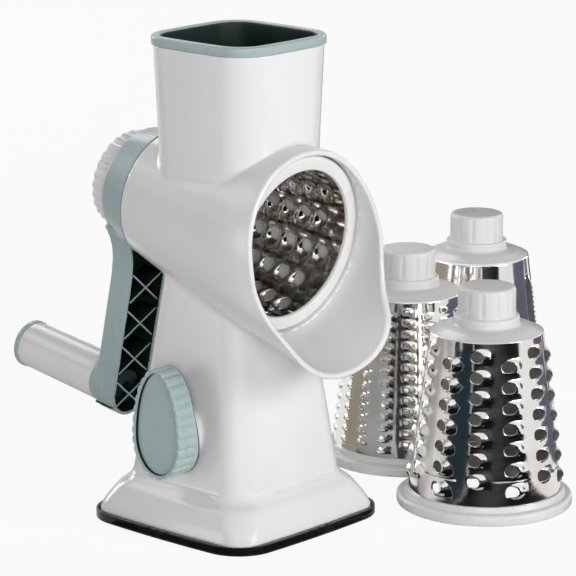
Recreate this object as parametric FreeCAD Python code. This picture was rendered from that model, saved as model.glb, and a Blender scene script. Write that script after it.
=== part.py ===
import FreeCAD, Part
import math
import os

from FreeCAD import Placement, Rotation, Vector

# Rotary shredder: a drum turns in a tilted chamber under a square hopper, on a hollow pedestal
# whose rubber foot is pulled up in the middle by a cam. Millimetres, +Z up, origin at the centre
# of the foot's underside. The mouth faces -Y, the crank is at +Y, the suction knob at -X.

# --- walls and clearances -------------------------------------------------------------------
WALL = 2.8                  # housing wall
RUNNING_FIT = 0.05          # radial, shaft in bearing
SQUARE_FIT = 0.1            # each side, square shaft in square hole
LOOSE_FIT = 0.3             # between parts that only pass or sit beside each other
SEAT_GAP = 0.15             # between two flat faces that rest on each other
OVERSHOOT = 5.0             # how far a cutting solid runs past the face it cuts
TOUCH = 0.01                # two places closer than this are the same

# --- drum axis: s runs along it towards the mouth, v stands square to it, upwards -----------
AXIS_HEIGHT = 179.4
AXIS_TILT = 8.6             # degrees, the mouth end is lower

# --- hopper ---------------------------------------------------------------------------------
TOTAL_HEIGHT = 290.0
HOPPER_CENTRE_Y = -3.8
HOPPER_HALF = 42.5          # half width at the top
HOPPER_DRAFT = 2.0          # degrees, narrower downwards
HOPPER_CORNER = 21.0
HOPPER_SIDE_RADIUS = 450.0
PUSHER_RIM_HEIGHT = 5.7
PUSHER_WALL = 2.0
PUSHER_PLAY = 0.6           # between pusher and hopper wall
PUSHER_LAP = 1.0            # how far the shank reaches into the rim
PUSHER_TOOTH_GAP = 4.5      # between pusher floor and drum shell, room for the raised teeth

# --- drum chamber ---------------------------------------------------------------------------
CHAMBER_REAR_SETBACK = 3.5  # from the shell's small end forwards to the chamber's back
CHAMBER_FRONT_S = 100.0
CHAMBER_REAR_RADIUS = 40.0
CHAMBER_FRONT_RADIUS = 55.6
CHAMBER_FRONT_DROP = 11.5   # the spout bends down, so its centre sinks below the drum axis
# round sections in between: station, radius, drop of the centre
CHAMBER_SECTIONS = [(-20.0, 46.9, 0.0), (14.0, 52.3, 0.0), (42.0, 56.8, 0.0), (58.0, 57.7, 0.9),
                    (76.0, 56.8, 5.0)]
CHAMBER_WALL = 3.5
LIP_TOP_S = 51.0
# the lip seen from the side, (v, s): collar above, scoop below
LIP_CURVE = [(56.0, 51.0), (46.0, 52.3), (30.0, 56.4), (14.0, 61.4), (0.0, 66.2), (-14.0, 70.4),
             (-28.0, 77.1), (-42.0, 87.4), (-56.0, 93.6), (-64.0, 94.4), (-72.0, 94.4)]

# --- pedestal and plinth --------------------------------------------------------------------
PEDESTAL_FOOT_Z = 26.5
PEDESTAL_FOOT_HALF = 49.1
PEDESTAL_DRAFT = 6.9        # degrees, narrower upwards
PEDESTAL_CORNER = 21.0
PEDESTAL_SIDE_RADIUS = 900.0
PLINTH_CORNER = 14.0
PLINTH_HALF = 62.9
PLINTH_FOOT_Z = 5.6
# share of the way out and down from the pedestal's foot to the plinth's edge
PLINTH_CURVE = [(0.0, 0.0), (0.36, 0.215), (0.67, 0.53), (0.87, 0.77), (1.0, 1.0)]

# --- rubber foot ----------------------------------------------------------------------------
FOOT_HALF = 67.2
FOOT_CORNER = 25.0
FOOT_SIDE_RADIUS = 800.0
FOOT_HEIGHT = 5.2
FOOT_EDGE = 0.8             # chamfer round the band
FOOT_SEAT_Z = 2.4           # floor of the groove the housing stands in
SKIRT_GAP = 0.3
NOTCH_COUNT = 3
NOTCH_PITCH = 7.0
NOTCH_RADIUS = 1.3

# --- drum: heights above the rim's face, on the table big end down --------------------------
RIM_RADIUS = 52.9
RIM_HEIGHT = 10.5
RIM_BAND_HEIGHT = 7.0
RIM_SHOULDER = 2.6          # wall outside the sheet above the band
RIM_SHOULDER_DRAFT = 1.0
RIM_INNER_WALL = 1.1        # wall inside the sheet, only as high as the inner lip
RIM_INNER_LIP = 2.6
RIM_BORE_DRAFT = 0.8
RIM_EDGE = 1.2
SHELL_BIG_RADIUS = 46.0     # outside, where it leaves the rim
SHELL_SMALL_RADIUS = 34.0
SHELL_LENGTH = 96.6
SHELL_SHEET = 0.8
SHELL_SEAT_Z = 1.5          # how far the sheet's edge stays above the rim's face
DOME_HEIGHT = 4.2
COLLAR_RADIUS = 19.7
COLLAR_HEIGHT = 5.4
HUB_RADIUS = 17.3
HUB_LENGTH = 17.4
HUB_EDGE = 1.6
HUB_FLUTES = 12
FLUTE_RADIUS = 2.0
FLUTE_DEPTH = 1.0
HUB_WALL = 2.6
DRUM_FACE_S = 48.9          # where the fitted drum's rim face lies

COARSE_COLUMNS = 12
COARSE_ROWS = 7
COARSE_PITCH = 12.3
COARSE_HOLE_RADIUS = 4.0
COARSE_FIRST_ROW = 8.5      # above the rim
FINE_COLUMNS = 18
FINE_ROWS = 13
FINE_PITCH = 6.8
FINE_HOLE_RADIUS = 1.9
FINE_FIRST_ROW = 5.5
FITTED_COLUMNS = 14         # the drum in the chamber, a grater between coarse and fine
FITTED_ROWS = 7
FITTED_PITCH = 11.5
FITTED_HOLE_RADIUS = 3.9
FITTED_FIRST_ROW = 4.8
FITTED_TURN = 21.2          # degrees, its columns of holes against the top of the hub
SLICER_SLOTS = 5
SLOT_LENGTH = 78.0
SLOT_WIDTH = 5.0
SLOT_FIRST_END = 7.0

# floor places of the spare drums
SPARE_PLACES = {"coarse": (118.0, -95.0), "fine": (162.0, 4.0), "slicer": (270.0, 36.0)}

# --- bearing behind the chamber -------------------------------------------------------------
DOME_CLEARANCE = 0.6
REAR_WALL = 2.5
BOSS_WALL = 1.6
SPIGOT_RADIUS = 22.0
BEARING_WALL = 3.0
BEARING_LENGTH = 10.4
SPIGOT_LENGTH = 8.7

# --- crank ----------------------------------------------------------------------------------
HEAD_GAP = 0.8              # between the chamber's back and the head
HEAD_FRONT_RADIUS = 39.5
HEAD_REAR_RADIUS = 34.7
HEAD_WALL = 2.2
ARM_SETBACK = 4.5           # of the arm's front behind the head's
ARM_DEPTH = 17.4
ARM_LEAN = 4.2              # degrees off the head's vertical, towards -X
ARM_LENGTH = 128.1          # from the drum axis to the centre of its round end
GRIP_SETBACK = 2.6          # of the grip's axis behind that centre
ARM_HALF_WAIST = 15.7
ARM_HALF_END = 14.6
ARM_BLEND = 41.0            # radius between head and arm
ARM_WALL = 2.0
ARM_FLOOR = 2.4
ARM_EDGE = 2.6              # rounding of the arm's rear edges
POCKET_START = 36.0         # along the arm from the axis
RIB = 1.0
RIB_PITCH = 22.7
RIB_FIRST = 50.0
RIB_CELLS = 3
RIB_SETBACK = 0.5
SPINDLE_BOSS_RADIUS = 10.5
SPINDLE_BOSS_SETBACK = 4.0
GRIP_COLLAR_RADIUS = 15.0
GRIP_COLLAR_LENGTH = 4.0    # behind the arm

# --- lock nut on the crank's split collet ---------------------------------------------------
COLLET_LENGTH = 6.2
COLLET_RADIUS = 20.6
COLLET_SLITS = 4
COLLET_SLIT = 1.2
NUT_RADIUS = 29.6
NUT_GAP = 0.3
NUT_ROOM = 0.8              # between the hub's end and the nut's floor
NUT_FLOOR = 4.0
NUT_SCALLOPS = 28
SCALLOP_RADIUS = 2.6
SCALLOP_DEPTH = 1.0
NUT_EDGE = 1.2

# --- grip -----------------------------------------------------------------------------------
GRIP_RADIUS = 14.7          # at the arm
GRIP_END_RADIUS = 14.2
GRIP_LENGTH = 63.3
GRIP_WALL = 2.4
GRIP_WEB = 6.0
CAP_RADIUS = 14.8
CAP_THICKNESS = 4.0
CAP_EDGE = 1.6
CAP_PLUG = 2.5
SPINDLE_RADIUS = 4.0
SPINDLE_THREAD_RADIUS = 3.0
SPINDLE_HEAD_RADIUS = 7.0
SPINDLE_HEAD_HEIGHT = 3.0

# --- suction knob, its axis along X ---------------------------------------------------------
KNOB_Z = 60.0
KNOB_BOSS_RADIUS = 19.2
KNOB_BOSS_HEIGHT = 3.45     # above the pedestal's wall
KNOB_GAP = 0.3
KNOB_DEPTH = 19.2
KNOB_HALF_WIDTH = 19.4
KNOB_ABOVE = 42.4
KNOB_BELOW = 24.0
KNOB_HEEL = 4.9             # how much less deep the narrow end is than the round one
KNOB_HEEL_TOP = 18.0        # the heel slopes between these heights above and below the axis
KNOB_HEEL_LOW = -17.0
KNOB_WALL = 2.6
KNOB_RECESS = 2.6
KNOB_PLATE = 2.6
KNOB_FLANGE = 3.3           # plain band at the back of the narrow end
KNOB_RIM = 1.0              # plain band at the front
KNOB_COVER = 1.2
KNOB_FLUTES = 26
KNOB_FLUTE_RADIUS = 2.6
KNOB_FLUTE_DEPTH = 0.7
KNOB_HUB_RADIUS = 9.0
KNOB_SQUARE = 7.0
KNOB_SCREW_RADIUS = 1.5
KNOB_SCREW_HEAD_RADIUS = 3.2
KNOB_SCREW_HEAD = 2.0
KNOB_SCREW_LENGTH = 14.0

# --- cam shaft and lift ---------------------------------------------------------------------
SHAFT_RADIUS = 5.0
SHAFT_END_RADIUS = 4.0
SHAFT_TIP = 1.0             # how far the shaft's end stands out of its saddle
SADDLE_X = 31.0
SADDLE_THICKNESS = 4.0
SADDLE_HALF = 8.0
BEARING_TUBE_LENGTH = 14.5
BEARING_TUBE_RADIUS = 8.5
CLIP_THICKNESS = 0.8
CLIP_RADIUS = 7.0
CLIP_GROOVE_RADIUS = 4.0
CLIP_MOUTH = 6.8
CAM_BASE_RADIUS = 7.0
CAM_HALF_THICKNESS = 3.5
PAD_LIFT = 6.0              # over a quarter turn of the knob
CAM_STEPS = 12
YOKE_HALF_THICKNESS = 4.0
YOKE_BAR = 4.0
YOKE_CLEARANCE = 0.15
YOKE_SIDE_CLEARANCE = 0.8
YOKE_HEAD_ROOM = 1.0        # between the lowest point of the cam and the screw's head
YOKE_SCREW_HEAD = 2.4
YOKE_SCREW_HEAD_RADIUS = 3.4
YOKE_SCREW_RADIUS = 1.5
YOKE_SCREW_LENGTH = 14.0
INSERT_RADIUS = 24.0
INSERT_THICKNESS = 2.0
POST_RADIUS = 6.0

# --- base frame -----------------------------------------------------------------------------
FRAME_THICKNESS = 2.6
FRAME_OPENING_RADIUS = 27.0
BRIDGE_HALF_WIDTH = 11.0
BRIDGE_THICKNESS = 3.0
BRIDGE_LEG = 4.0
GUIDE_RADIUS = 9.0
GUIDE_LENGTH = 15.7
SCREW_PLACE = 41.0
SCREW_RADIUS = 1.5
SCREW_HEAD_RADIUS = 3.4
SCREW_HEAD = 1.4
SCREW_LENGTH = 11.0
SCREW_BOSS_RADIUS = 4.5
SCREW_BOSS_LENGTH = 45.0
SCREW_TIP_ROOM = 1.0

# --- places that follow from the sizes above ------------------------------------------------
UP = Vector(0, 0, 1)
ALONG_X = Vector(1, 0, 0)
ORIGIN = Vector(0, 0, 0)
DRUM_FRAME = Placement(Vector(0, 0, AXIS_HEIGHT), Rotation(ALONG_X, 90.0 + AXIS_TILT))
HOPPER_TOP_Z = TOTAL_HEIGHT - PUSHER_RIM_HEIGHT
SHELL_TOP_Z = RIM_HEIGHT + SHELL_LENGTH
COLLAR_BASE_Z = SHELL_TOP_Z + DOME_HEIGHT
HUB_BASE_Z = COLLAR_BASE_Z + COLLAR_HEIGHT
DRUM_HEIGHT = HUB_BASE_Z + HUB_LENGTH
RIM_TOP_BORE = SHELL_BIG_RADIUS - SHELL_SHEET - RIM_INNER_WALL
CHAMBER_REAR_S = DRUM_FACE_S - SHELL_TOP_Z + CHAMBER_REAR_SETBACK
REAR_WALL_FRONT_S = DRUM_FACE_S - COLLAR_BASE_Z - DOME_CLEARANCE
REAR_WALL_REAR_S = REAR_WALL_FRONT_S - REAR_WALL
SPIGOT_FRONT_S = DRUM_FACE_S - HUB_BASE_Z - LOOSE_FIT
HUB_END_S = DRUM_FACE_S - DRUM_HEIGHT
HEAD_FRONT_S = CHAMBER_REAR_S - HEAD_GAP
HEAD_REAR_S = SPIGOT_FRONT_S - SPIGOT_LENGTH
HEAD_SLOPE = (HEAD_FRONT_RADIUS - HEAD_REAR_RADIUS) / (HEAD_FRONT_S - HEAD_REAR_S)
ARM_FRONT_S = HEAD_FRONT_S - ARM_SETBACK
ARM_REAR_S = ARM_FRONT_S - ARM_DEPTH
COLLET_END_S = HEAD_REAR_S - COLLET_LENGTH
NUT_FLOOR_S = min(HUB_END_S, COLLET_END_S) - NUT_ROOM
NUT_REAR_S = NUT_FLOOR_S - NUT_FLOOR
COLLAR_END_S = ARM_REAR_S - GRIP_COLLAR_LENGTH
GRIP_FRONT_S = COLLAR_END_S - LOOSE_FIT
GRIP_END_S = GRIP_FRONT_S - GRIP_LENGTH
SKIRT_FOOT_Z = FOOT_SEAT_Z + SKIRT_GAP
FRAME_UNDER_Z = SKIRT_FOOT_Z + SKIRT_GAP
FRAME_TOP_Z = FRAME_UNDER_Z + FRAME_THICKNESS
INSERT_UNDER_Z = FOOT_SEAT_Z + LOOSE_FIT
INSERT_TOP_Z = INSERT_UNDER_Z + INSERT_THICKNESS
BRIDGE_UNDER_Z = INSERT_TOP_Z + PAD_LIFT + 2.0 * LOOSE_FIT
BRIDGE_TOP_Z = BRIDGE_UNDER_Z + BRIDGE_THICKNESS
GUIDE_TOP_Z = BRIDGE_TOP_Z + GUIDE_LENGTH
PEDESTAL_SLOPE = math.tan(math.radians(PEDESTAL_DRAFT))
KNOB_WALL_X = (KNOB_Z - PEDESTAL_FOOT_Z) * PEDESTAL_SLOPE - PEDESTAL_FOOT_HALF
KNOB_BOSS_X = KNOB_WALL_X - KNOB_BOSS_HEIGHT
BEARING_END_X = KNOB_BOSS_X + BEARING_TUBE_LENGTH
SHAFT_END_X = SADDLE_X + SADDLE_THICKNESS + SHAFT_TIP
KNOB_BACK_X = KNOB_BOSS_X - KNOB_GAP
KNOB_FACE_X = KNOB_BACK_X - KNOB_DEPTH
KNOB_PLATE_X = KNOB_FACE_X + KNOB_RECESS + KNOB_COVER
CAM_RATE = PAD_LIFT / (math.pi / 2.0)
CAM_REACH = math.hypot(CAM_BASE_RADIUS + PAD_LIFT, CAM_RATE)
YOKE_INNER_HALF = CAM_REACH + YOKE_SIDE_CLEARANCE
YOKE_TOP_Z = KNOB_Z + CAM_BASE_RADIUS + YOKE_CLEARANCE
YOKE_SEAT_Z = KNOB_Z - CAM_BASE_RADIUS - PAD_LIFT - YOKE_SCREW_HEAD - YOKE_HEAD_ROOM
POST_TOP_Z = YOKE_SEAT_Z - YOKE_BAR
LEAN = math.radians(ARM_LEAN)
GRIP_DISTANCE = ARM_LENGTH - GRIP_SETBACK
GRIP_X = -GRIP_DISTANCE * math.sin(LEAN)
GRIP_V = -GRIP_DISTANCE * math.cos(LEAN)


# --- building blocks ------------------------------------------------------------------------
def bowed_square(half, corner, side_radius, z, centre_y=0.0):
    """Closed wire: a square with slightly bowed sides and round corners tangent to them."""
    setback = side_radius - half
    reach = side_radius - corner
    corner_centre = (math.sqrt(2.0 * reach ** 2 - setback ** 2) - setback) / 2.0
    scale = side_radius / reach
    join_x = (corner_centre + setback) * scale - setback
    join_y = corner_centre * scale
    diagonal = corner_centre + corner / math.sqrt(2.0)
    edges = []
    for quarter in range(4):
        turn = Rotation(UP, 90.0 * quarter)
        points = [Vector(join_x, -join_y, 0), Vector(half, 0, 0), Vector(join_x, join_y, 0),
                  Vector(diagonal, diagonal, 0), Vector(join_y, join_x, 0)]
        points = [turn.multVec(point) + Vector(0, centre_y, z) for point in points]
        edges.append(Part.Arc(points[0], points[1], points[2]).toShape())
        edges.append(Part.Arc(points[2], points[3], points[4]).toShape())
    return Part.Wire(edges)


def prism_between(lower, upper):
    """Solid between two like wires, straight from one to the other."""
    return Part.makeLoft([lower, upper], True, True)


def turned(points):
    """Solid of revolution about the local axis from a closed outline of (radius, height)."""
    corners = [Vector(radius, 0, height) for radius, height in points]
    outline = Part.makePolygon(corners + corners[:1])
    return Part.Face(outline).revolve(ORIGIN, UP, 360.0)


def rod(radius, low, high, x=0.0, y=0.0):
    """Upright cylinder between two heights."""
    return Part.makeCylinder(radius, high - low, Vector(x, y, low), UP)


def rod_along_x(radius, low, high, y=0.0, z=0.0):
    """Cylinder along X between two stations."""
    return Part.makeCylinder(radius, high - low, Vector(low, y, z), ALONG_X)


def block(low, high):
    """Box between two opposite corners."""
    size = [b - a for a, b in zip(low, high)]
    return Part.makeBox(size[0], size[1], size[2], Vector(*low))


def in_drum_frame(shape):
    """Copy of a shape built along the drum axis, moved to its place in the part."""
    moved = shape.copy()
    moved.Placement = DRUM_FRAME.multiply(shape.Placement)
    return moved


def ring_of(shape, count, first=0.0):
    """Copies of a shape turned evenly about the local axis."""
    copies = []
    for index in range(count):
        copy = shape.copy()
        copy.rotate(ORIGIN, UP, first + 360.0 * index / count)
        copies.append(copy)
    return copies


# --- housing --------------------------------------------------------------------------------
def chamber_solid(offset, low_s, high_s):
    """Body of the drum chamber, smooth through its round sections, set in by offset."""
    sections = [(CHAMBER_REAR_S, CHAMBER_REAR_RADIUS, 0.0)] + CHAMBER_SECTIONS
    sections = sections + [(CHAMBER_FRONT_S, CHAMBER_FRONT_RADIUS, CHAMBER_FRONT_DROP)]
    wires = []
    for station, radius, drop in sections:
        circle = Part.makeCircle(radius - offset, Vector(0, -drop, station), UP)
        wires.append(Part.Wire([circle]))
    whole = Part.makeLoft(wires, True, False)
    reach = CHAMBER_FRONT_RADIUS + CHAMBER_FRONT_DROP + OVERSHOOT
    return in_drum_frame(whole.common(rod(reach, low_s, high_s)))


def beyond_lip():
    """Everything in front of the lip: the solid that trims collar and scoop."""
    reach = CHAMBER_FRONT_RADIUS + CHAMBER_FRONT_DROP + OVERSHOOT
    far = CHAMBER_FRONT_S + OVERSHOOT
    points = [Vector(-reach, v, s) for v, s in LIP_CURVE]
    curve = Part.BSplineCurve()
    curve.interpolate(points)
    first = Vector(-reach, reach, LIP_TOP_S)
    rest = Part.makePolygon([points[-1], Vector(-reach, -reach, points[-1].z),
                             Vector(-reach, -reach, far), Vector(-reach, reach, far), first,
                             points[0]])
    face = Part.Face(Part.Wire([curve.toShape()] + rest.Edges))
    return in_drum_frame(face.extrude(Vector(2.0 * reach, 0, 0)))


def hopper_wire(inset, z):
    """Section of the hopper, set in by inset, at height z."""
    narrowing = (HOPPER_TOP_Z - z) * math.tan(math.radians(HOPPER_DRAFT))
    half = HOPPER_HALF - inset - narrowing
    return bowed_square(half, HOPPER_CORNER - inset, HOPPER_SIDE_RADIUS, z, HOPPER_CENTRE_Y)


def pedestal_wire(inset, z):
    """Section of the pedestal, set in by inset, at height z."""
    half = PEDESTAL_FOOT_HALF - inset - (z - PEDESTAL_FOOT_Z) * PEDESTAL_SLOPE
    return bowed_square(half, PEDESTAL_CORNER - inset, PEDESTAL_SIDE_RADIUS, z)


def plinth_wires(inset):
    """Sections of the flared plinth from the pedestal's foot down to its edge."""
    wires = []
    for outward, down in PLINTH_CURVE:
        half = PEDESTAL_FOOT_HALF + outward * (PLINTH_HALF - PEDESTAL_FOOT_HALF) - inset
        corner = PEDESTAL_CORNER + outward * (PLINTH_CORNER - PEDESTAL_CORNER) - inset
        z = PEDESTAL_FOOT_Z + down * (PLINTH_FOOT_Z - PEDESTAL_FOOT_Z)
        wires.append(bowed_square(half, corner, PEDESTAL_SIDE_RADIUS, z))
    return wires


def skirt_wire(inset, z):
    """Section of the plinth's upright edge, set in by inset, at height z."""
    return bowed_square(PLINTH_HALF - inset, PLINTH_CORNER - inset, PEDESTAL_SIDE_RADIUS, z)


def stand_solid(inset, low_z):
    """Pedestal, flared plinth and skirt as one solid, set in by inset."""
    pedestal = prism_between(pedestal_wire(inset, PEDESTAL_FOOT_Z),
                             pedestal_wire(inset, AXIS_HEIGHT))
    plinth = Part.makeLoft(plinth_wires(inset), True, False)
    skirt = prism_between(skirt_wire(inset, low_z), skirt_wire(inset, PLINTH_FOOT_Z))
    return pedestal.fuse([plinth, skirt])


def screw_places():
    """Centres of the four base screws."""
    return [(x * SCREW_PLACE, y * SCREW_PLACE) for x in (-1, 1) for y in (-1, 1)]


def rear_bearing():
    """Hollow boss behind the chamber and the tube that carries the crank's spigot."""
    clear = HEAD_FRONT_RADIUS - HEAD_WALL - LOOSE_FIT
    front_radius = clear - HEAD_SLOPE * (HEAD_FRONT_S - CHAMBER_REAR_S)
    rear_radius = clear - HEAD_SLOPE * (HEAD_FRONT_S - REAR_WALL_REAR_S)
    tube_radius = SPIGOT_RADIUS + RUNNING_FIT
    tube_end = REAR_WALL_FRONT_S - BEARING_LENGTH
    front_bore = front_radius - BOSS_WALL
    rear_bore = rear_radius - BOSS_WALL
    root_s = CHAMBER_REAR_S + WALL
    boss = turned([(front_bore, root_s), (front_bore, CHAMBER_REAR_S),
                   (rear_bore, REAR_WALL_FRONT_S), (tube_radius, REAR_WALL_FRONT_S),
                   (tube_radius, tube_end), (tube_radius + BEARING_WALL, tube_end),
                   (tube_radius + BEARING_WALL, REAR_WALL_REAR_S),
                   (rear_radius, REAR_WALL_REAR_S), (front_radius, CHAMBER_REAR_S),
                   (front_radius, root_s)])
    return in_drum_frame(boss), front_bore


def chamber_hollow(rear_bore):
    """Space inside the chamber: drum room, rim seat and scoop."""
    seat_radius = RIM_RADIUS + 2.0 * LOOSE_FIT
    seat_low = DRUM_FACE_S - RIM_HEIGHT - LOOSE_FIT
    drum_room = chamber_solid(CHAMBER_WALL, CHAMBER_REAR_S + WALL, seat_low)
    rear_opening = in_drum_frame(rod(rear_bore, CHAMBER_REAR_S - OVERSHOOT, seat_low))
    seat = in_drum_frame(rod(seat_radius, seat_low, LIP_TOP_S))
    scoop = chamber_solid(CHAMBER_WALL, DRUM_FACE_S + RIM_EDGE, CHAMBER_FRONT_S)
    return drum_room.fuse([rear_opening, seat, scoop])


def housing():
    """Hopper, chamber with its lip, pedestal and plinth in one moulding."""
    chamber = chamber_solid(0.0, CHAMBER_REAR_S, CHAMBER_FRONT_S)
    hopper = prism_between(hopper_wire(0.0, AXIS_HEIGHT), hopper_wire(0.0, HOPPER_TOP_Z))
    stand = stand_solid(0.0, SKIRT_FOOT_Z)
    knob_boss = rod_along_x(KNOB_BOSS_RADIUS, KNOB_BOSS_X, 0.0, 0.0, KNOB_Z)
    outside = chamber.cut(beyond_lip()).fuse([hopper, stand, knob_boss])
    bearing, rear_bore = rear_bearing()
    hopper_room = prism_between(hopper_wire(WALL, AXIS_HEIGHT),
                                hopper_wire(WALL, HOPPER_TOP_Z))
    stand_room = stand_solid(WALL, SKIRT_FOOT_Z).cut(chamber)
    body = outside.cut([chamber_hollow(rear_bore), hopper_room, stand_room])
    tube = rod_along_x(BEARING_TUBE_RADIUS, KNOB_BOSS_X, BEARING_END_X, 0.0, KNOB_Z)
    saddle = block((SADDLE_X, -SADDLE_HALF, KNOB_Z + LOOSE_FIT),
                   (SADDLE_X + SADDLE_THICKNESS, SADDLE_HALF, KNOB_Z + 2.0 * SADDLE_HALF))
    tie = block((SADDLE_X, -SADDLE_THICKNESS / 2.0, KNOB_Z + SADDLE_HALF),
                (PEDESTAL_FOOT_HALF, SADDLE_THICKNESS / 2.0, KNOB_Z + 2.0 * SADDLE_HALF))
    bosses = [rod(SCREW_BOSS_RADIUS, FRAME_TOP_Z, FRAME_TOP_Z + SCREW_BOSS_LENGTH, x, y)
              for x, y in screw_places()]
    inside = Part.makeCompound([saddle, tie] + bosses).common(stand)
    body = body.fuse([bearing, tube] + inside.Solids)
    shaft_bore = rod_along_x(SHAFT_RADIUS + RUNNING_FIT, KNOB_BOSS_X - OVERSHOOT,
                             BEARING_END_X + OVERSHOOT, 0.0, KNOB_Z)
    saddle_bore = rod_along_x(SHAFT_END_RADIUS + RUNNING_FIT, SADDLE_X - OVERSHOOT,
                              SHAFT_END_X + LOOSE_FIT, 0.0, KNOB_Z)
    pilots = [rod(SCREW_RADIUS + RUNNING_FIT, FRAME_TOP_Z - OVERSHOOT,
                  FRAME_UNDER_Z + SCREW_LENGTH + SCREW_TIP_ROOM, x, y)
              for x, y in screw_places()]
    return body.cut([shaft_bore, saddle_bore] + pilots).removeSplitter()


# --- food pusher ----------------------------------------------------------------------------
def drum_envelope(gap):
    """Cone that stands off the drum shell by gap, over the length under the hopper."""
    low = -OVERSHOOT
    high = SHELL_TOP_Z + OVERSHOOT
    cone = Part.makeCone(shell_radius(low) + gap, shell_radius(high) + gap, high - low,
                         Vector(0, 0, low), UP)
    return in_drum_frame(as_fitted(cone))


def food_pusher():
    """Hollow cup with a rim on the hopper's edge and an arched floor over the drum."""
    play = WALL + PUSHER_PLAY
    rim_low = HOPPER_TOP_Z + SEAT_GAP
    shank = prism_between(hopper_wire(play, AXIS_HEIGHT), hopper_wire(play, rim_low + PUSHER_LAP))
    shank = shank.cut(drum_envelope(PUSHER_TOOTH_GAP))
    rim = prism_between(bowed_square(HOPPER_HALF, HOPPER_CORNER, HOPPER_SIDE_RADIUS, rim_low,
                                     HOPPER_CENTRE_Y),
                        bowed_square(HOPPER_HALF, HOPPER_CORNER, HOPPER_SIDE_RADIUS,
                                     TOTAL_HEIGHT, HOPPER_CENTRE_Y))
    inset = play + PUSHER_WALL
    room = prism_between(hopper_wire(inset, AXIS_HEIGHT),
                         hopper_wire(inset, TOTAL_HEIGHT + PUSHER_LAP))
    room = room.cut(drum_envelope(PUSHER_TOOTH_GAP + PUSHER_WALL))
    body = shank.fuse(rim).cut(room)
    return max(body.Solids, key=lambda solid: solid.Volume)


# --- drums ----------------------------------------------------------------------------------
def as_fitted(shape):
    """Copy of a drum piece turned big end forwards, its rim face at its station."""
    moved = shape.copy()
    moved.rotate(ORIGIN, ALONG_X, 180.0)
    moved.translate(Vector(0, 0, DRUM_FACE_S))
    return moved


def shell_radius(height):
    """Outside radius of the metal shell at a height above the rim's face."""
    slope = (SHELL_BIG_RADIUS - SHELL_SMALL_RADIUS) / SHELL_LENGTH
    return SHELL_BIG_RADIUS - slope * (height - RIM_HEIGHT)


def plain_shell():
    """Conical sheet before it is pierced."""
    foot = shell_radius(SHELL_SEAT_Z)
    return turned([(foot - SHELL_SHEET, SHELL_SEAT_Z), (foot, SHELL_SEAT_Z),
                   (SHELL_SMALL_RADIUS, SHELL_TOP_Z),
                   (SHELL_SMALL_RADIUS - SHELL_SHEET, SHELL_TOP_Z)])


def pierced_shell(columns, rows, pitch, radius, first_row):
    """Shell with staggered columns of round holes, made as like sectors of two columns."""
    step = 360.0 / columns
    reach = SHELL_BIG_RADIUS + OVERSHOOT
    wedge = Part.makeCylinder(reach, DRUM_HEIGHT, ORIGIN, UP, 2.0 * step)
    wedge.rotate(ORIGIN, UP, -step / 2.0)
    drills = []
    for stagger in range(2):
        for row in range(rows):
            height = RIM_HEIGHT + first_row + pitch * (row + stagger / 2.0)
            start = Vector(shell_radius(height) - 2.0 * SHELL_SHEET, 0, height)
            drill = Part.makeCylinder(radius, 3.0 * SHELL_SHEET, start, ALONG_X)
            drill.rotate(ORIGIN, UP, step * stagger)
            drills.append(drill)
    sector = plain_shell().common(wedge).cut(drills)
    copies = ring_of(sector, columns // 2)
    return copies[0].fuse(copies[1:]).removeSplitter()


def slotted_shell():
    """Shell with the slicer's long upright slots."""
    low = RIM_HEIGHT + SLOT_FIRST_END
    cutter = block((SHELL_SMALL_RADIUS - OVERSHOOT, -SLOT_WIDTH / 2.0, low),
                   (SHELL_BIG_RADIUS + OVERSHOOT, SLOT_WIDTH / 2.0, low + SLOT_LENGTH))
    return plain_shell().cut(ring_of(cutter, SLICER_SLOTS))


def drum_shells():
    """Pierced metal shell of each kind of drum."""
    fitted = pierced_shell(FITTED_COLUMNS, FITTED_ROWS, FITTED_PITCH, FITTED_HOLE_RADIUS,
                           FITTED_FIRST_ROW)
    fitted.rotate(ORIGIN, UP, FITTED_TURN)
    return {"fitted": fitted,
            "coarse": pierced_shell(COARSE_COLUMNS, COARSE_ROWS, COARSE_PITCH,
                                    COARSE_HOLE_RADIUS, COARSE_FIRST_ROW),
            "fine": pierced_shell(FINE_COLUMNS, FINE_ROWS, FINE_PITCH, FINE_HOLE_RADIUS,
                                  FINE_FIRST_ROW),
            "slicer": slotted_shell()}


def drum_rim():
    """Ring moulded round the big end; a low lip inside holds the edge of the sheet."""
    shoulder = SHELL_BIG_RADIUS + RIM_SHOULDER
    inside = -SHELL_SHEET / 2.0
    ring = turned([(RIM_TOP_BORE + RIM_BORE_DRAFT, 0.0), (RIM_RADIUS - RIM_EDGE, 0.0),
                   (RIM_RADIUS, RIM_EDGE), (RIM_RADIUS, RIM_BAND_HEIGHT - RIM_EDGE),
                   (RIM_RADIUS - RIM_EDGE, RIM_BAND_HEIGHT), (shoulder, RIM_BAND_HEIGHT),
                   (shoulder - RIM_SHOULDER_DRAFT, RIM_HEIGHT),
                   (shell_radius(RIM_HEIGHT) + inside, RIM_HEIGHT),
                   (shell_radius(RIM_INNER_LIP) + inside, RIM_INNER_LIP),
                   (RIM_TOP_BORE, RIM_INNER_LIP)])
    return ring.cut(plain_shell())


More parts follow.
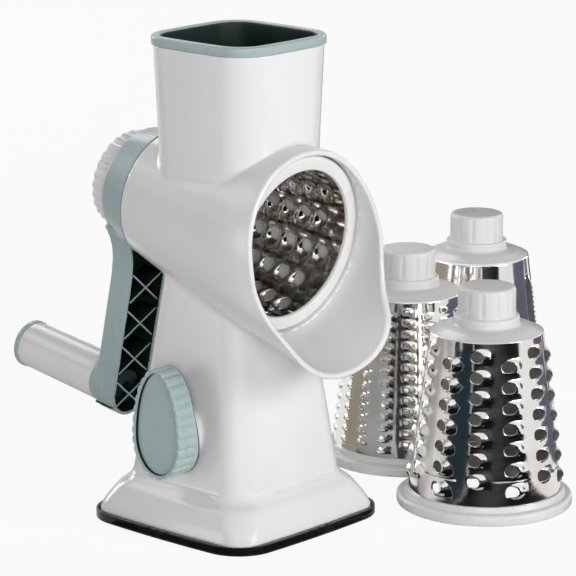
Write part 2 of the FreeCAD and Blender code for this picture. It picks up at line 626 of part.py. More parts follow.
def drum_hub():
    """End piece: plug and dome in the small end, collar and fluted hub, hollow inside."""
    plug = SHELL_SMALL_RADIUS - SHELL_SHEET
    plug_low = SHELL_TOP_Z - HUB_WALL
    plug_foot = shell_radius(plug_low) - SHELL_SHEET
    body = turned([(0.0, plug_low), (plug_foot, plug_low), (plug, SHELL_TOP_Z),
                   (SHELL_SMALL_RADIUS, SHELL_TOP_Z), (COLLAR_RADIUS, COLLAR_BASE_Z),
                   (COLLAR_RADIUS, HUB_BASE_Z), (HUB_RADIUS, HUB_BASE_Z),
                   (HUB_RADIUS, DRUM_HEIGHT - HUB_EDGE),
                   (HUB_RADIUS - HUB_EDGE, DRUM_HEIGHT), (0.0, DRUM_HEIGHT)])
    flute_centre = HUB_RADIUS - FLUTE_DEPTH + FLUTE_RADIUS
    flute = rod(FLUTE_RADIUS, HUB_BASE_Z, DRUM_HEIGHT + OVERSHOOT, flute_centre)
    room = rod(HUB_RADIUS - FLUTE_DEPTH - HUB_WALL, plug_low - OVERSHOOT,
               DRUM_HEIGHT - HUB_WALL)
    return body.cut(ring_of(flute, HUB_FLUTES) + [room])


# --- crank ----------------------------------------------------------------------------------
def arm_point(along, across, s):
    """Point of the arm: distance from the axis, distance from its centre line, station."""
    return Vector(-along * math.sin(LEAN) + across * math.cos(LEAN),
                  -along * math.cos(LEAN) - across * math.sin(LEAN), s)


def arm_wire(inset, start, s):
    """Outline of the arm below the head, its end round, set in by inset."""
    waist = ARM_HALF_WAIST - inset
    end = ARM_HALF_END - inset
    points = [(start, -waist), (ARM_LENGTH, -end), (ARM_LENGTH + end, 0.0),
              (ARM_LENGTH, end), (start, waist)]
    points = [arm_point(along, across, s) for along, across in points]
    tip = Part.Arc(points[1], points[2], points[3]).toShape()
    sides = [Part.makeLine(points[0], points[1]), Part.makeLine(points[3], points[4]),
             Part.makeLine(points[4], points[0])]
    return Part.Wire([sides[0], tip, sides[1], sides[2]])


def waist_blend():
    """Flat web between head and arm, its two free sides hollow arcs."""
    head = (HEAD_FRONT_RADIUS + HEAD_REAR_RADIUS) / 2.0
    centre_across = ARM_HALF_WAIST + ARM_BLEND
    centre_along = math.sqrt((head + ARM_BLEND) ** 2 - centre_across ** 2)
    corners = [arm_point(0.0, 0.0, ARM_REAR_S),
               arm_point(centre_along, -centre_across, ARM_REAR_S),
               arm_point(centre_along, centre_across, ARM_REAR_S)]
    depth = ARM_FRONT_S - ARM_REAR_S
    web = Part.Face(Part.makePolygon(corners + corners[:1])).extrude(Vector(0, 0, depth))
    return web.cut([Part.makeCylinder(ARM_BLEND, depth, centre, UP) for centre in corners[1:]])


def arm_lattice():
    """Crossed ribs that stiffen the arm's pocket."""
    top_s = ARM_FRONT_S - RIB_SETBACK
    floor_s = ARM_REAR_S + ARM_FLOOR / 2.0
    half = ARM_HALF_WAIST
    ribs = []
    for cell in range(RIB_CELLS + 1):
        low = RIB_FIRST + RIB_PITCH * cell
        high = low + RIB_PITCH
        for side in (-1, 1):
            start = arm_point(low, side * half, floor_s)
            end = arm_point(high, -side * half, floor_s)
            run = end - start
            rib = Part.makeBox(run.Length, RIB, top_s - floor_s,
                               Vector(0, -RIB / 2.0, 0))
            angle = math.degrees(math.atan2(run.y, run.x))
            rib.Placement = Placement(start, Rotation(UP, angle)).multiply(rib.Placement)
            ribs.append(rib)
    return ribs


def crank_arm():
    """Hollow head over the rear boss, ribbed arm, splined spigot and split collet."""
    head = turned([(0.0, HEAD_REAR_S), (HEAD_REAR_RADIUS, HEAD_REAR_S),
                   (HEAD_FRONT_RADIUS, HEAD_FRONT_S), (0.0, HEAD_FRONT_S)])
    head = head.makeFillet(ARM_EDGE, [edge for edge in head.Edges
                                      if abs(edge.BoundBox.ZMax - HEAD_REAR_S) < TOUCH
                                      and edge.BoundBox.XLength > HEAD_REAR_RADIUS])
    depth = Vector(0, 0, ARM_FRONT_S - ARM_REAR_S)
    arm = Part.Face(arm_wire(0.0, 0.0, ARM_REAR_S)).extrude(depth)
    arm = arm.fuse(waist_blend()).removeSplitter()
    rear_edges = [edge for edge in arm.Edges
                  if abs(edge.BoundBox.ZMax - ARM_REAR_S) < TOUCH
                  and edge.CenterOfMass.Length > abs(ARM_REAR_S) + TOUCH]
    arm = arm.makeFillet(ARM_EDGE, rear_edges)
    grip_place = Vector(GRIP_X, GRIP_V, COLLAR_END_S)
    collar_length = ARM_FRONT_S - SPINDLE_BOSS_SETBACK - COLLAR_END_S
    collar = Part.makeCylinder(GRIP_COLLAR_RADIUS, collar_length, grip_place, UP)
    body = arm.fuse([head, collar])
    cavity_rear = HEAD_REAR_S + HEAD_WALL
    front_bore = HEAD_FRONT_RADIUS - HEAD_WALL
    cavity = turned([(0.0, cavity_rear),
                     (front_bore - HEAD_SLOPE * (HEAD_FRONT_S - cavity_rear), cavity_rear),
                     (front_bore + HEAD_SLOPE * OVERSHOOT, HEAD_FRONT_S + OVERSHOOT),
                     (0.0, HEAD_FRONT_S + OVERSHOOT)])
    pocket_depth = ARM_FRONT_S - ARM_REAR_S - ARM_FLOOR + OVERSHOOT
    pocket_wire = arm_wire(ARM_WALL, POCKET_START, ARM_REAR_S + ARM_FLOOR)
    pocket = Part.Face(pocket_wire).extrude(Vector(0, 0, pocket_depth))
    head_rear = Part.makeCylinder(HEAD_FRONT_RADIUS, HEAD_FRONT_S - HEAD_REAR_S,
                                  Vector(0, 0, HEAD_REAR_S), UP)
    pocket = pocket.cut(head_rear)
    body = body.cut([cavity, pocket])
    ribs = Part.makeCompound(arm_lattice()).common(Part.makeCompound([pocket]))
    boss = Part.makeCylinder(SPINDLE_BOSS_RADIUS, ARM_DEPTH - SPINDLE_BOSS_SETBACK,
                             Vector(GRIP_X, GRIP_V, ARM_REAR_S), UP)
    spigot = rod(SPIGOT_RADIUS, HEAD_REAR_S, SPIGOT_FRONT_S)
    collet = rod(COLLET_RADIUS, COLLET_END_S, HEAD_REAR_S)
    body = body.fuse(ribs.Solids + [boss, spigot, collet])
    bore = rod(HUB_RADIUS + RUNNING_FIT, COLLET_END_S - OVERSHOOT, SPIGOT_FRONT_S + OVERSHOOT)
    key_centre = HUB_RADIUS - FLUTE_DEPTH + FLUTE_RADIUS
    key = rod(FLUTE_RADIUS - 2.0 * RUNNING_FIT, COLLET_END_S - OVERSHOOT,
              SPIGOT_FRONT_S + OVERSHOOT, key_centre)
    bore = bore.cut(ring_of(key, HUB_FLUTES))
    slit = block((0.0, -COLLET_SLIT / 2.0, COLLET_END_S - OVERSHOOT),
                 (COLLET_RADIUS + OVERSHOOT, COLLET_SLIT / 2.0, HEAD_REAR_S))
    slits = ring_of(slit, COLLET_SLITS, 180.0 / HUB_FLUTES)
    thread = at_grip(rod(SPINDLE_THREAD_RADIUS, COLLAR_END_S - OVERSHOOT, ARM_FRONT_S))
    return body.cut([bore, thread] + slits).removeSplitter()


def lock_nut():
    """Scalloped cap nut that closes the collet on the drum's hub."""
    front = min(HEAD_REAR_S, ARM_REAR_S) - NUT_GAP
    bore = COLLET_RADIUS + RUNNING_FIT
    body = turned([(0.0, NUT_REAR_S), (NUT_RADIUS - NUT_EDGE, NUT_REAR_S),
                   (NUT_RADIUS, NUT_REAR_S + NUT_EDGE), (NUT_RADIUS, front),
                   (bore, front), (bore, NUT_FLOOR_S), (0.0, NUT_FLOOR_S)])
    centre = NUT_RADIUS - SCALLOP_DEPTH + SCALLOP_RADIUS
    scallop = rod(SCALLOP_RADIUS, NUT_REAR_S - OVERSHOOT, front + OVERSHOOT, centre)
    return body.cut(ring_of(scallop, NUT_SCALLOPS))


# --- grip -----------------------------------------------------------------------------------
def at_grip(shape):
    """Copy of a piece built on the local axis, moved to the end of the arm."""
    moved = shape.copy()
    moved.translate(Vector(GRIP_X, GRIP_V, 0))
    return moved


def grip_spindle():
    """Shoulder bolt: screwed into the arm, its head holds the sleeve."""
    shoulder = COLLAR_END_S
    head_low = GRIP_END_S + CAP_PLUG + LOOSE_FIT
    head_top = head_low + SPINDLE_HEAD_HEIGHT
    return at_grip(turned([(0.0, head_low), (SPINDLE_HEAD_RADIUS, head_low),
                           (SPINDLE_HEAD_RADIUS, head_top), (SPINDLE_RADIUS, head_top),
                           (SPINDLE_RADIUS, shoulder), (SPINDLE_THREAD_RADIUS, shoulder),
                           (SPINDLE_THREAD_RADIUS, ARM_REAR_S + 2.0 * ARM_FLOOR),
                           (0.0, ARM_REAR_S + 2.0 * ARM_FLOOR)]))


def grip_sleeve():
    """Tube with a bearing web at each end, free to turn on the spindle."""
    front = GRIP_FRONT_S
    bore = SPINDLE_RADIUS + RUNNING_FIT
    inner = GRIP_END_RADIUS - GRIP_WALL
    web_low = GRIP_END_S + CAP_PLUG + SPINDLE_HEAD_HEIGHT + 2.0 * LOOSE_FIT
    return at_grip(turned([(inner, GRIP_END_S), (GRIP_END_RADIUS, GRIP_END_S),
                           (GRIP_RADIUS, front), (bore, front), (bore, front - GRIP_WEB),
                           (inner, front - GRIP_WEB), (inner, web_low + GRIP_WEB),
                           (bore, web_low + GRIP_WEB), (bore, web_low), (inner, web_low)]))


def grip_end_cap():
    """Cap whose plug is pressed into the sleeve's open end."""
    rear = GRIP_END_S - CAP_THICKNESS
    plug = GRIP_END_RADIUS - GRIP_WALL
    return at_grip(turned([(0.0, rear), (CAP_RADIUS - CAP_EDGE, rear),
                           (CAP_RADIUS, rear + CAP_EDGE), (CAP_RADIUS, GRIP_END_S),
                           (plug, GRIP_END_S), (plug, GRIP_END_S + CAP_PLUG),
                           (0.0, GRIP_END_S + CAP_PLUG)]))


# --- suction knob ---------------------------------------------------------------------------
def egg_wire(inset, x):
    """Egg outline about the knob's axis, two half ellipses, narrow end up."""
    half = KNOB_HALF_WIDTH - inset
    edges = []
    for height, side in ((KNOB_ABOVE - inset, 1.0), (KNOB_BELOW - inset, -1.0)):
        centre = Vector(x, 0, KNOB_Z)
        long_end = centre + Vector(0, 0, side * height)
        wide_end = centre + Vector(0, side * half, 0)
        if height >= half:
            ellipse = Part.Ellipse(long_end, wide_end, centre)
        else:
            ellipse = Part.Ellipse(wide_end, long_end, centre)
        start = ellipse.parameter(centre + Vector(0, half, 0))
        end = ellipse.parameter(centre - Vector(0, half, 0))
        arc = Part.ArcOfEllipse(ellipse, min(start, end), max(start, end)).toShape()
        if (arc.valueAt((arc.FirstParameter + arc.LastParameter) / 2.0).z - KNOB_Z) * side < 0:
            arc = Part.ArcOfEllipse(ellipse, max(start, end),
                                    min(start, end) + 2.0 * math.pi).toShape()
        edges.append(arc)
    return Part.Wire(edges)


def egg_solid(inset, low_x, high_x):
    """Egg-shaped block along X between two stations."""
    return Part.Face(egg_wire(inset, low_x)).extrude(Vector(high_x - low_x, 0, 0))


def behind_heel():
    """Everything behind the knob's sloping back, to be cut from the egg."""
    deep = KNOB_BACK_X
    flat = KNOB_BACK_X - KNOB_HEEL
    far = OVERSHOOT
    corners = [(deep, KNOB_HEEL_LOW), (flat, KNOB_HEEL_TOP), (flat, KNOB_ABOVE + OVERSHOOT),
               (far, KNOB_ABOVE + OVERSHOOT), (far, KNOB_HEEL_LOW)]
    points = [Vector(x, -KNOB_ABOVE, KNOB_Z + height) for x, height in corners]
    return Part.Face(Part.makePolygon(points + points[:1])).extrude(
        Vector(0, 2.0 * KNOB_ABOVE, 0))


def suction_knob():
    """Shell with a raised rim, fluted edge, heeled back and a square-holed hub."""
    body = egg_solid(0.0, KNOB_FACE_X, KNOB_BACK_X).cut(behind_heel())
    recess = egg_solid(KNOB_WALL, KNOB_FACE_X - OVERSHOOT, KNOB_PLATE_X)
    room = egg_solid(KNOB_WALL, KNOB_PLATE_X + KNOB_PLATE, KNOB_BACK_X + OVERSHOOT)
    hub = rod_along_x(KNOB_HUB_RADIUS, KNOB_PLATE_X, KNOB_BACK_X, 0.0, KNOB_Z)
    body = body.cut([recess, room]).fuse(hub)
    flute_end = KNOB_BACK_X - KNOB_HEEL - KNOB_FLANGE
    track = egg_wire(KNOB_FLUTE_DEPTH - KNOB_FLUTE_RADIUS, KNOB_FACE_X)
    flutes = []
    for place in track.discretize(Number=KNOB_FLUTES + 1)[:-1]:
        flutes.append(rod_along_x(KNOB_FLUTE_RADIUS, KNOB_FACE_X + KNOB_RIM, flute_end,
                                  place.y, place.z))
    half = KNOB_SQUARE / 2.0 + SQUARE_FIT
    socket_end = KNOB_PLATE_X + KNOB_PLATE
    socket = block((socket_end, -half, KNOB_Z - half), (0.0, half, KNOB_Z + half))
    screw_hole = rod_along_x(KNOB_SCREW_RADIUS + RUNNING_FIT, KNOB_FACE_X, 0.0, 0.0, KNOB_Z)
    sink = rod_along_x(KNOB_SCREW_HEAD_RADIUS + LOOSE_FIT, KNOB_FACE_X,
                       KNOB_PLATE_X + KNOB_SCREW_HEAD, 0.0, KNOB_Z)
    return body.cut(flutes + [socket, screw_hole, sink])


def knob_cover():
    """Thin face plate in the knob's recess, over the screw."""
    return egg_solid(KNOB_WALL + RUNNING_FIT, KNOB_PLATE_X - KNOB_COVER, KNOB_PLATE_X)


def knob_screw():
    """Screw along the shaft's axis, its head sunk in the knob's plate."""
    low = KNOB_PLATE_X
    shank = rod_along_x(KNOB_SCREW_RADIUS, low, low + KNOB_SCREW_LENGTH, 0.0, KNOB_Z)
    head = rod_along_x(KNOB_SCREW_HEAD_RADIUS, low, low + KNOB_SCREW_HEAD, 0.0, KNOB_Z)
    return shank.fuse(head).removeSplitter()


# --- cam shaft and lift ---------------------------------------------------------------------
def cam_solid():
    """Cam whose flat follower rises evenly: its side is the involute of a small circle."""
    points = []
    for step in range(CAM_STEPS + 1):
        angle = math.pi / 2.0 * step / CAM_STEPS
        reach = CAM_BASE_RADIUS + CAM_RATE * angle
        z = reach * math.cos(angle) - CAM_RATE * math.sin(angle)
        y = reach * math.sin(angle) + CAM_RATE * math.cos(angle)
        points.append(Vector(-CAM_HALF_THICKNESS, y, KNOB_Z + z))
    flank = Part.BSplineCurve()
    flank.interpolate(points)
    start = Vector(-CAM_HALF_THICKNESS, 0, KNOB_Z + CAM_BASE_RADIUS)
    centre = Vector(-CAM_HALF_THICKNESS, 0, KNOB_Z)
    foot = Vector(-CAM_HALF_THICKNESS, 0, KNOB_Z - CAM_BASE_RADIUS)
    rest = Part.makePolygon([points[-1], foot, centre, start, points[0]])
    lobe = Part.Face(Part.Wire([flank.toShape()] + rest.Edges))
    lobe = lobe.extrude(Vector(2.0 * CAM_HALF_THICKNESS, 0, 0))
    base = rod_along_x(CAM_BASE_RADIUS, -CAM_HALF_THICKNESS, CAM_HALF_THICKNESS, 0.0, KNOB_Z)
    return lobe.fuse(base)


def cam_shaft():
    """Shaft with a square end for the knob, a groove for the clip, the cam and a journal."""
    half = KNOB_SQUARE / 2.0
    square_low = KNOB_PLATE_X + KNOB_PLATE + LOOSE_FIT
    square = block((square_low, -half, KNOB_Z - half), (KNOB_BACK_X, half, KNOB_Z + half))
    shaft = rod_along_x(SHAFT_RADIUS, KNOB_BACK_X, SADDLE_X - LOOSE_FIT, 0.0, KNOB_Z)
    journal = rod_along_x(SHAFT_END_RADIUS, SADDLE_X - LOOSE_FIT, SHAFT_END_X, 0.0, KNOB_Z)
    body = shaft.fuse([square, journal, cam_solid()])
    groove_low = BEARING_END_X + LOOSE_FIT
    groove = rod_along_x(SHAFT_RADIUS + OVERSHOOT, groove_low, groove_low + CLIP_THICKNESS,
                         0.0, KNOB_Z)
    core = rod_along_x(CLIP_GROOVE_RADIUS, groove_low, groove_low + CLIP_THICKNESS, 0.0, KNOB_Z)
    thread = rod_along_x(KNOB_SCREW_RADIUS + RUNNING_FIT, square_low,
                         KNOB_PLATE_X + KNOB_SCREW_LENGTH + SCREW_TIP_ROOM, 0.0, KNOB_Z)
    return body.cut([groove.cut(core), thread]).removeSplitter()


def shaft_clip():
    """Open ring in the shaft's groove, against the end of the bearing."""
    low = BEARING_END_X + LOOSE_FIT
    high = low + CLIP_THICKNESS
    ring = rod_along_x(CLIP_RADIUS, low, high, 0.0, KNOB_Z)
    bore = rod_along_x(CLIP_GROOVE_RADIUS, low, high, 0.0, KNOB_Z)
    mouth = block((low, -CLIP_MOUTH / 2.0, KNOB_Z - CLIP_RADIUS - OVERSHOOT),
                  (high, CLIP_MOUTH / 2.0, KNOB_Z))
    return ring.cut([bore, mouth])


def lift_yoke():
    """Frame round the cam: the cam lifts its top bar, its foot stands on the post."""
    outer_half = YOKE_INNER_HALF + YOKE_BAR
    outer = block((-YOKE_HALF_THICKNESS, -outer_half, YOKE_SEAT_Z - YOKE_BAR),
                  (YOKE_HALF_THICKNESS, outer_half, YOKE_TOP_Z + YOKE_BAR))
    window = block((-YOKE_HALF_THICKNESS, -YOKE_INNER_HALF, YOKE_SEAT_Z),
                   (YOKE_HALF_THICKNESS, YOKE_INNER_HALF, YOKE_TOP_Z))
    hole = rod(YOKE_SCREW_RADIUS + RUNNING_FIT, YOKE_SEAT_Z - 2.0 * YOKE_BAR, YOKE_SEAT_Z)
    return outer.cut([window, hole])


def yoke_screw():
    """Screw through the yoke's foot into the post."""
    shank = rod(YOKE_SCREW_RADIUS, YOKE_SEAT_Z - YOKE_SCREW_LENGTH, YOKE_SEAT_Z)
    head = rod(YOKE_SCREW_HEAD_RADIUS, YOKE_SEAT_Z, YOKE_SEAT_Z + YOKE_SCREW_HEAD)
    return shank.fuse(head)


def pad_insert():
    """Stiff plate on the middle of the rubber pad, with the post the yoke stands on."""
    plate = rod(INSERT_RADIUS, INSERT_UNDER_Z, INSERT_TOP_Z)
    post = rod(POST_RADIUS, INSERT_UNDER_Z, POST_TOP_Z)
    hole = rod(YOKE_SCREW_RADIUS + RUNNING_FIT,
               YOKE_SEAT_Z - YOKE_SCREW_LENGTH - SCREW_TIP_ROOM, POST_TOP_Z)
    return plate.fuse(post).cut(hole)


# --- foot -----------------------------------------------------------------------------------
def base_frame():
    """Floor of the housing: bridge and guide for the post, saddle for the shaft's end."""
    inset = WALL + SKIRT_GAP
    plate = prism_between(skirt_wire(inset, FRAME_UNDER_Z), skirt_wire(inset, FRAME_TOP_Z))
    plate = plate.cut(rod(FRAME_OPENING_RADIUS, FRAME_UNDER_Z, FRAME_TOP_Z))
    leg_out = FRAME_OPENING_RADIUS + 2.0 * BRIDGE_LEG
    bridge = block((-BRIDGE_HALF_WIDTH, -leg_out, FRAME_UNDER_Z),
                   (BRIDGE_HALF_WIDTH, leg_out, BRIDGE_TOP_Z))
    under = block((-BRIDGE_HALF_WIDTH, BRIDGE_LEG - leg_out, FRAME_UNDER_Z),
                  (BRIDGE_HALF_WIDTH, leg_out - BRIDGE_LEG, BRIDGE_UNDER_Z))
    guide = rod(GUIDE_RADIUS, BRIDGE_UNDER_Z, GUIDE_TOP_Z)
    stem = block((SADDLE_X, -SADDLE_HALF, FRAME_UNDER_Z),
                 (SADDLE_X + SADDLE_THICKNESS, SADDLE_HALF, KNOB_Z))
    brace = block((SADDLE_X, -SADDLE_THICKNESS / 2.0, FRAME_UNDER_Z),
                  (SADDLE_X + 2.0 * SADDLE_THICKNESS, SADDLE_THICKNESS / 2.0, KNOB_Z / 2.0))
    body = plate.fuse([bridge.cut(under), guide, stem, brace])
    post_bore = rod(POST_RADIUS + LOOSE_FIT, BRIDGE_UNDER_Z - OVERSHOOT,
                    GUIDE_TOP_Z + OVERSHOOT)
    journal_bore = rod_along_x(SHAFT_END_RADIUS + RUNNING_FIT, SADDLE_X - OVERSHOOT,
                               SADDLE_X + SADDLE_THICKNESS + OVERSHOOT, 0.0, KNOB_Z)
    cutters = [post_bore, journal_bore]
    for x, y in screw_places():
        cutters.append(rod(SCREW_RADIUS + RUNNING_FIT, FRAME_UNDER_Z, FRAME_TOP_Z, x, y))
        cutters.append(rod(SCREW_HEAD_RADIUS + RUNNING_FIT, FRAME_UNDER_Z,
                           FRAME_UNDER_Z + SCREW_HEAD, x, y))
    return body.cut(cutters).removeSplitter()


def base_screws():
    """Four screws up through the frame, their heads sunk in its underside."""
    screws = []
    for x, y in screw_places():
        head = rod(SCREW_HEAD_RADIUS, FRAME_UNDER_Z, FRAME_UNDER_Z + SCREW_HEAD, x, y)
        shank = rod(SCREW_RADIUS, FRAME_UNDER_Z, FRAME_UNDER_Z + SCREW_LENGTH, x, y)
        screws.append(head.fuse(shank).removeSplitter())
    return Part.makeCompound(screws)


def suction_pad():
    """Rubber foot: a band round the plinth and the flat membrane it stands on."""
    def outline(half_change, z):
        return bowed_square(FOOT_HALF + half_change, FOOT_CORNER + half_change,
                            FOOT_SIDE_RADIUS, z)
    body = prism_between(outline(-FOOT_EDGE, 0.0), outline(0.0, FOOT_EDGE))
    body = body.fuse([prism_between(outline(0.0, FOOT_EDGE),
                                    outline(0.0, FOOT_HEIGHT - FOOT_EDGE)),
                      prism_between(outline(0.0, FOOT_HEIGHT - FOOT_EDGE),
                                    outline(-FOOT_EDGE, FOOT_HEIGHT))])
    inside = prism_between(skirt_wire(-SKIRT_GAP, FOOT_SEAT_Z),
                           skirt_wire(-SKIRT_GAP, FOOT_HEIGHT + OVERSHOOT))
    notches = []
    for quarter in range(4):
        for index in range(NOTCH_COUNT):
            offset = (index - (NOTCH_COUNT - 1) / 2.0) * NOTCH_PITCH
            notch = rod(NOTCH_RADIUS, FOOT_HEIGHT - 2.0 * NOTCH_RADIUS,
                        FOOT_HEIGHT + OVERSHOOT, FOOT_HALF, offset)
            notch.rotate(ORIGIN, UP, 90.0 * quarter)
            notches.append(notch)
    return body.cut([inside] + notches).removeSplitter()


# --- the whole part -------------------------------------------------------------------------
def drum_pieces(name, shell, place):
    """The three pieces of one drum, moved by the given function."""
    return {name + "_shell": place(shell),
            name + "_rim": place(drum_rim()),
            name + "_hub": place(drum_hub())}


def on_floor(x, y):
    """Placer for a spare drum that stands on its rim."""
    def place(shape):
        moved = shape.copy()
        moved.translate(Vector(x, y, 0))
        return moved
    return place


def build_all():
    """Every node of the part, by name."""
    nodes = {"housing": housing(), "food_pusher": food_pusher(), "base_frame": base_frame(),
             "base_screws": base_screws(), "suction_pad": suction_pad(),
             "suction_knob": suction_knob(), "knob_cover": knob_cover(),
             "knob_screw": knob_screw(), "cam_shaft": cam_shaft(), "shaft_clip": shaft_clip(),
             "lift_yoke": lift_yoke(), "yoke_screw": yoke_screw(), "pad_insert": pad_insert()}
    for name, builder in (("crank_arm", crank_arm), ("lock_nut", lock_nut),
                          ("grip_spindle", grip_spindle), ("grip_sleeve", grip_sleeve),
                          ("grip_end_cap", grip_end_cap)):
        nodes[name] = in_drum_frame(builder())
    shells = drum_shells()
    nodes.update(drum_pieces("drum", shells["fitted"],
                             lambda shape: in_drum_frame(as_fitted(shape))))
    for kind, (x, y) in SPARE_PLACES.items():
        nodes.update(drum_pieces("spare_" + kind, shells[kind], on_floor(x, y)))
    return nodes


os.makedirs("parts", exist_ok=True)
for node, shape in build_all().items():
    print(node, len(shape.Solids), "solid(s)", round(shape.Volume / 1000.0, 2), "cm3")
    shape.exportStep(os.path.join("parts", node + ".step"))
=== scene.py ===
import logging
import math
from collections.abc import Callable, Sequence
from dataclasses import dataclass, field
from enum import Enum

import bpy
import numpy as np
from mathutils import Matrix, Vector


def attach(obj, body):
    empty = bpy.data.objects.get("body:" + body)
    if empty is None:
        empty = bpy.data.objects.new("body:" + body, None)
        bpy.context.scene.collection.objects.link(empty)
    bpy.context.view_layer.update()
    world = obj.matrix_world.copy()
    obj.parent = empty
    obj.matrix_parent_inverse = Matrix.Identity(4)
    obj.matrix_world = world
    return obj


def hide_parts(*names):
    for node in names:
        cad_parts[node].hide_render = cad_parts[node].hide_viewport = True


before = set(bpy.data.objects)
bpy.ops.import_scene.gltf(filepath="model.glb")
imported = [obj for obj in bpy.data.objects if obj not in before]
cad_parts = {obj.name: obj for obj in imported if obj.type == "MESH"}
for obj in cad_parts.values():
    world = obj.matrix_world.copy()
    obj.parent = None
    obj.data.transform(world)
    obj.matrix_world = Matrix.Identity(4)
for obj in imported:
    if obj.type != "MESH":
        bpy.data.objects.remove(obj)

# Looks of a rotary vegetable shredder: housing, pusher, drums, crank, suction knob and foot.
# Sizes in the classes are millimetres in the part's own frame; meshes are written in metres.
# Each surface is worked out as whole arrays: a profile carried round an outline, a profile
# turned about the drum's axis, or the zero level of a distance field.

Array = np.ndarray
Field = Callable[[Array], Array]
Triple = tuple[float, float, float]
Ring = tuple[float, float, float, float]
Socket = bpy.types.NodeSocket

MM = 0.001
WELD = 0.004
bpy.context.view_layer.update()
LOG = logging.getLogger("shredder")
AXIS_HEIGHT = 179.4
AXIS_TILT = math.radians(8.6)
TILT_SIN, TILT_COS = math.sin(AXIS_TILT), math.cos(AXIS_TILT)
RIM_STATION = 48.9


# --- frames ---------------------------------------------------------------------------------
def from_drum(points: Array) -> Array:
    """Turns points of the drum's frame into the part's frame.

    Args:
        points: rows of (x, v, s); s runs along the axis to the mouth, v stands square to it.

    Returns:
        Rows of (x, y, z): the frame is tipped forwards by the tilt about the X axis.
    """
    x, v, s = points[..., 0], points[..., 1], points[..., 2]
    return np.stack([x, -TILT_SIN * v - TILT_COS * s,
                     AXIS_HEIGHT + TILT_COS * v - TILT_SIN * s], axis=-1)


def into_drum(points: Array) -> Array:
    """Turns points of the part's frame into the drum's frame, the reverse of from_drum.

    Args:
        points: rows of (x, y, z).

    Returns:
        Rows of (x, v, s).
    """
    x, y, z = points[..., 0], points[..., 1], points[..., 2] - AXIS_HEIGHT
    return np.stack([x, -TILT_SIN * y + TILT_COS * z, -TILT_COS * y - TILT_SIN * z], axis=-1)


def smooth_curve(at: Array, knots: Sequence[float], values: Sequence[float]) -> Array:
    """Cubic curve through knots, its slope at each knot the mean of the neighbouring slopes.

    Args:
        at: where the curve is read.
        knots: rising stations.
        values: the curve's value at each knot.

    Returns:
        The value at each place; beyond the ends the curve stays at its end value.
    """
    x, y = np.asarray(knots, float), np.asarray(values, float)
    slope = np.gradient(y, x)
    t = np.clip(at, x[0], x[-1])
    i = np.clip(np.searchsorted(x, t, side="right") - 1, 0, len(x) - 2)
    width = x[i + 1] - x[i]
    u = (t - x[i]) / width
    return (y[i] * (1 + 2 * u) * (1 - u) ** 2 + width * slope[i] * u * (1 - u) ** 2
            + y[i + 1] * u ** 2 * (3 - 2 * u) - width * slope[i + 1] * u ** 2 * (1 - u))


# --- distance fields ------------------------------------------------------------------------
def both(a: Array, b: Array, radius: float) -> Array:
    """What lies inside both solids, the edge between them rounded.

    The corner where a and b meet becomes a circle of the radius: the length of the two parts
    above minus the radius, less the radius.
    """
    over = np.hypot(np.maximum(a + radius, 0.0), np.maximum(b + radius, 0.0))
    return over - radius + np.minimum(np.maximum(a, b) + radius, 0.0)


def either(a: Array, b: Array, blend: float) -> Array:
    """What lies inside one solid or the other, the inner corner filled over the blend width.

    The lesser of the two, lowered by a quarter of the square of how near they are to equal.
    """
    near = np.maximum(blend - np.abs(a - b), 0.0)
    return np.minimum(a, b) - near ** 2 / (4.0 * blend)


def bowed_column(x: Array, y: Array, half: Array, corner: Array, side_radius: float) -> Array:
    """Distance to an upright column of square section with bowed sides and round corners.

    Each side is a large circle about a centre beyond the other side; the two pairs of sides
    meet in a rounded edge.

    Args:
        x: across the column.
        y: along the column.
        half: half width, one value or one for each point.
        corner: corner radius, likewise.
        side_radius: radius of the bowed sides.

    Returns:
        Distance, below zero inside.
    """
    setback = side_radius - half
    a = np.hypot(np.abs(x) + setback, y) - side_radius
    b = np.hypot(np.abs(y) + setback, x) - side_radius
    return both(a, b, corner)


def between(solid: Array, along: Array, low: float, high: float) -> Array:
    """The part of a solid that lies between two stations along an axis."""
    return np.maximum(solid, np.maximum(low - along, along - high))


def hoop(reach: Array, along: Array, middle: Array, half: float, low: float,
         high: float) -> Array:
    """A ring of half its wall's thickness to each side of its middle radius, cut off square."""
    return between(np.abs(reach - middle) - half, along, low, high)


def tube(radius: Array, low: Array, high: Array, reach: Array, along: Array,
         edge: float = 0.3) -> Array:
    """Distance to a straight round bar: reach from its axis, along it from low to high."""
    return both(reach - radius, np.maximum(low - along, along - high), edge)


def marks(*spans: Triple) -> Array:
    """Grid stations over neighbouring spans of (start, end, step)."""
    runs = [np.linspace(a, b, max(int(round((b - a) / step)), 1) + 1)[:-1]
            for a, b, step in spans]
    return np.concatenate(runs + [np.array([spans[-1][1]])])


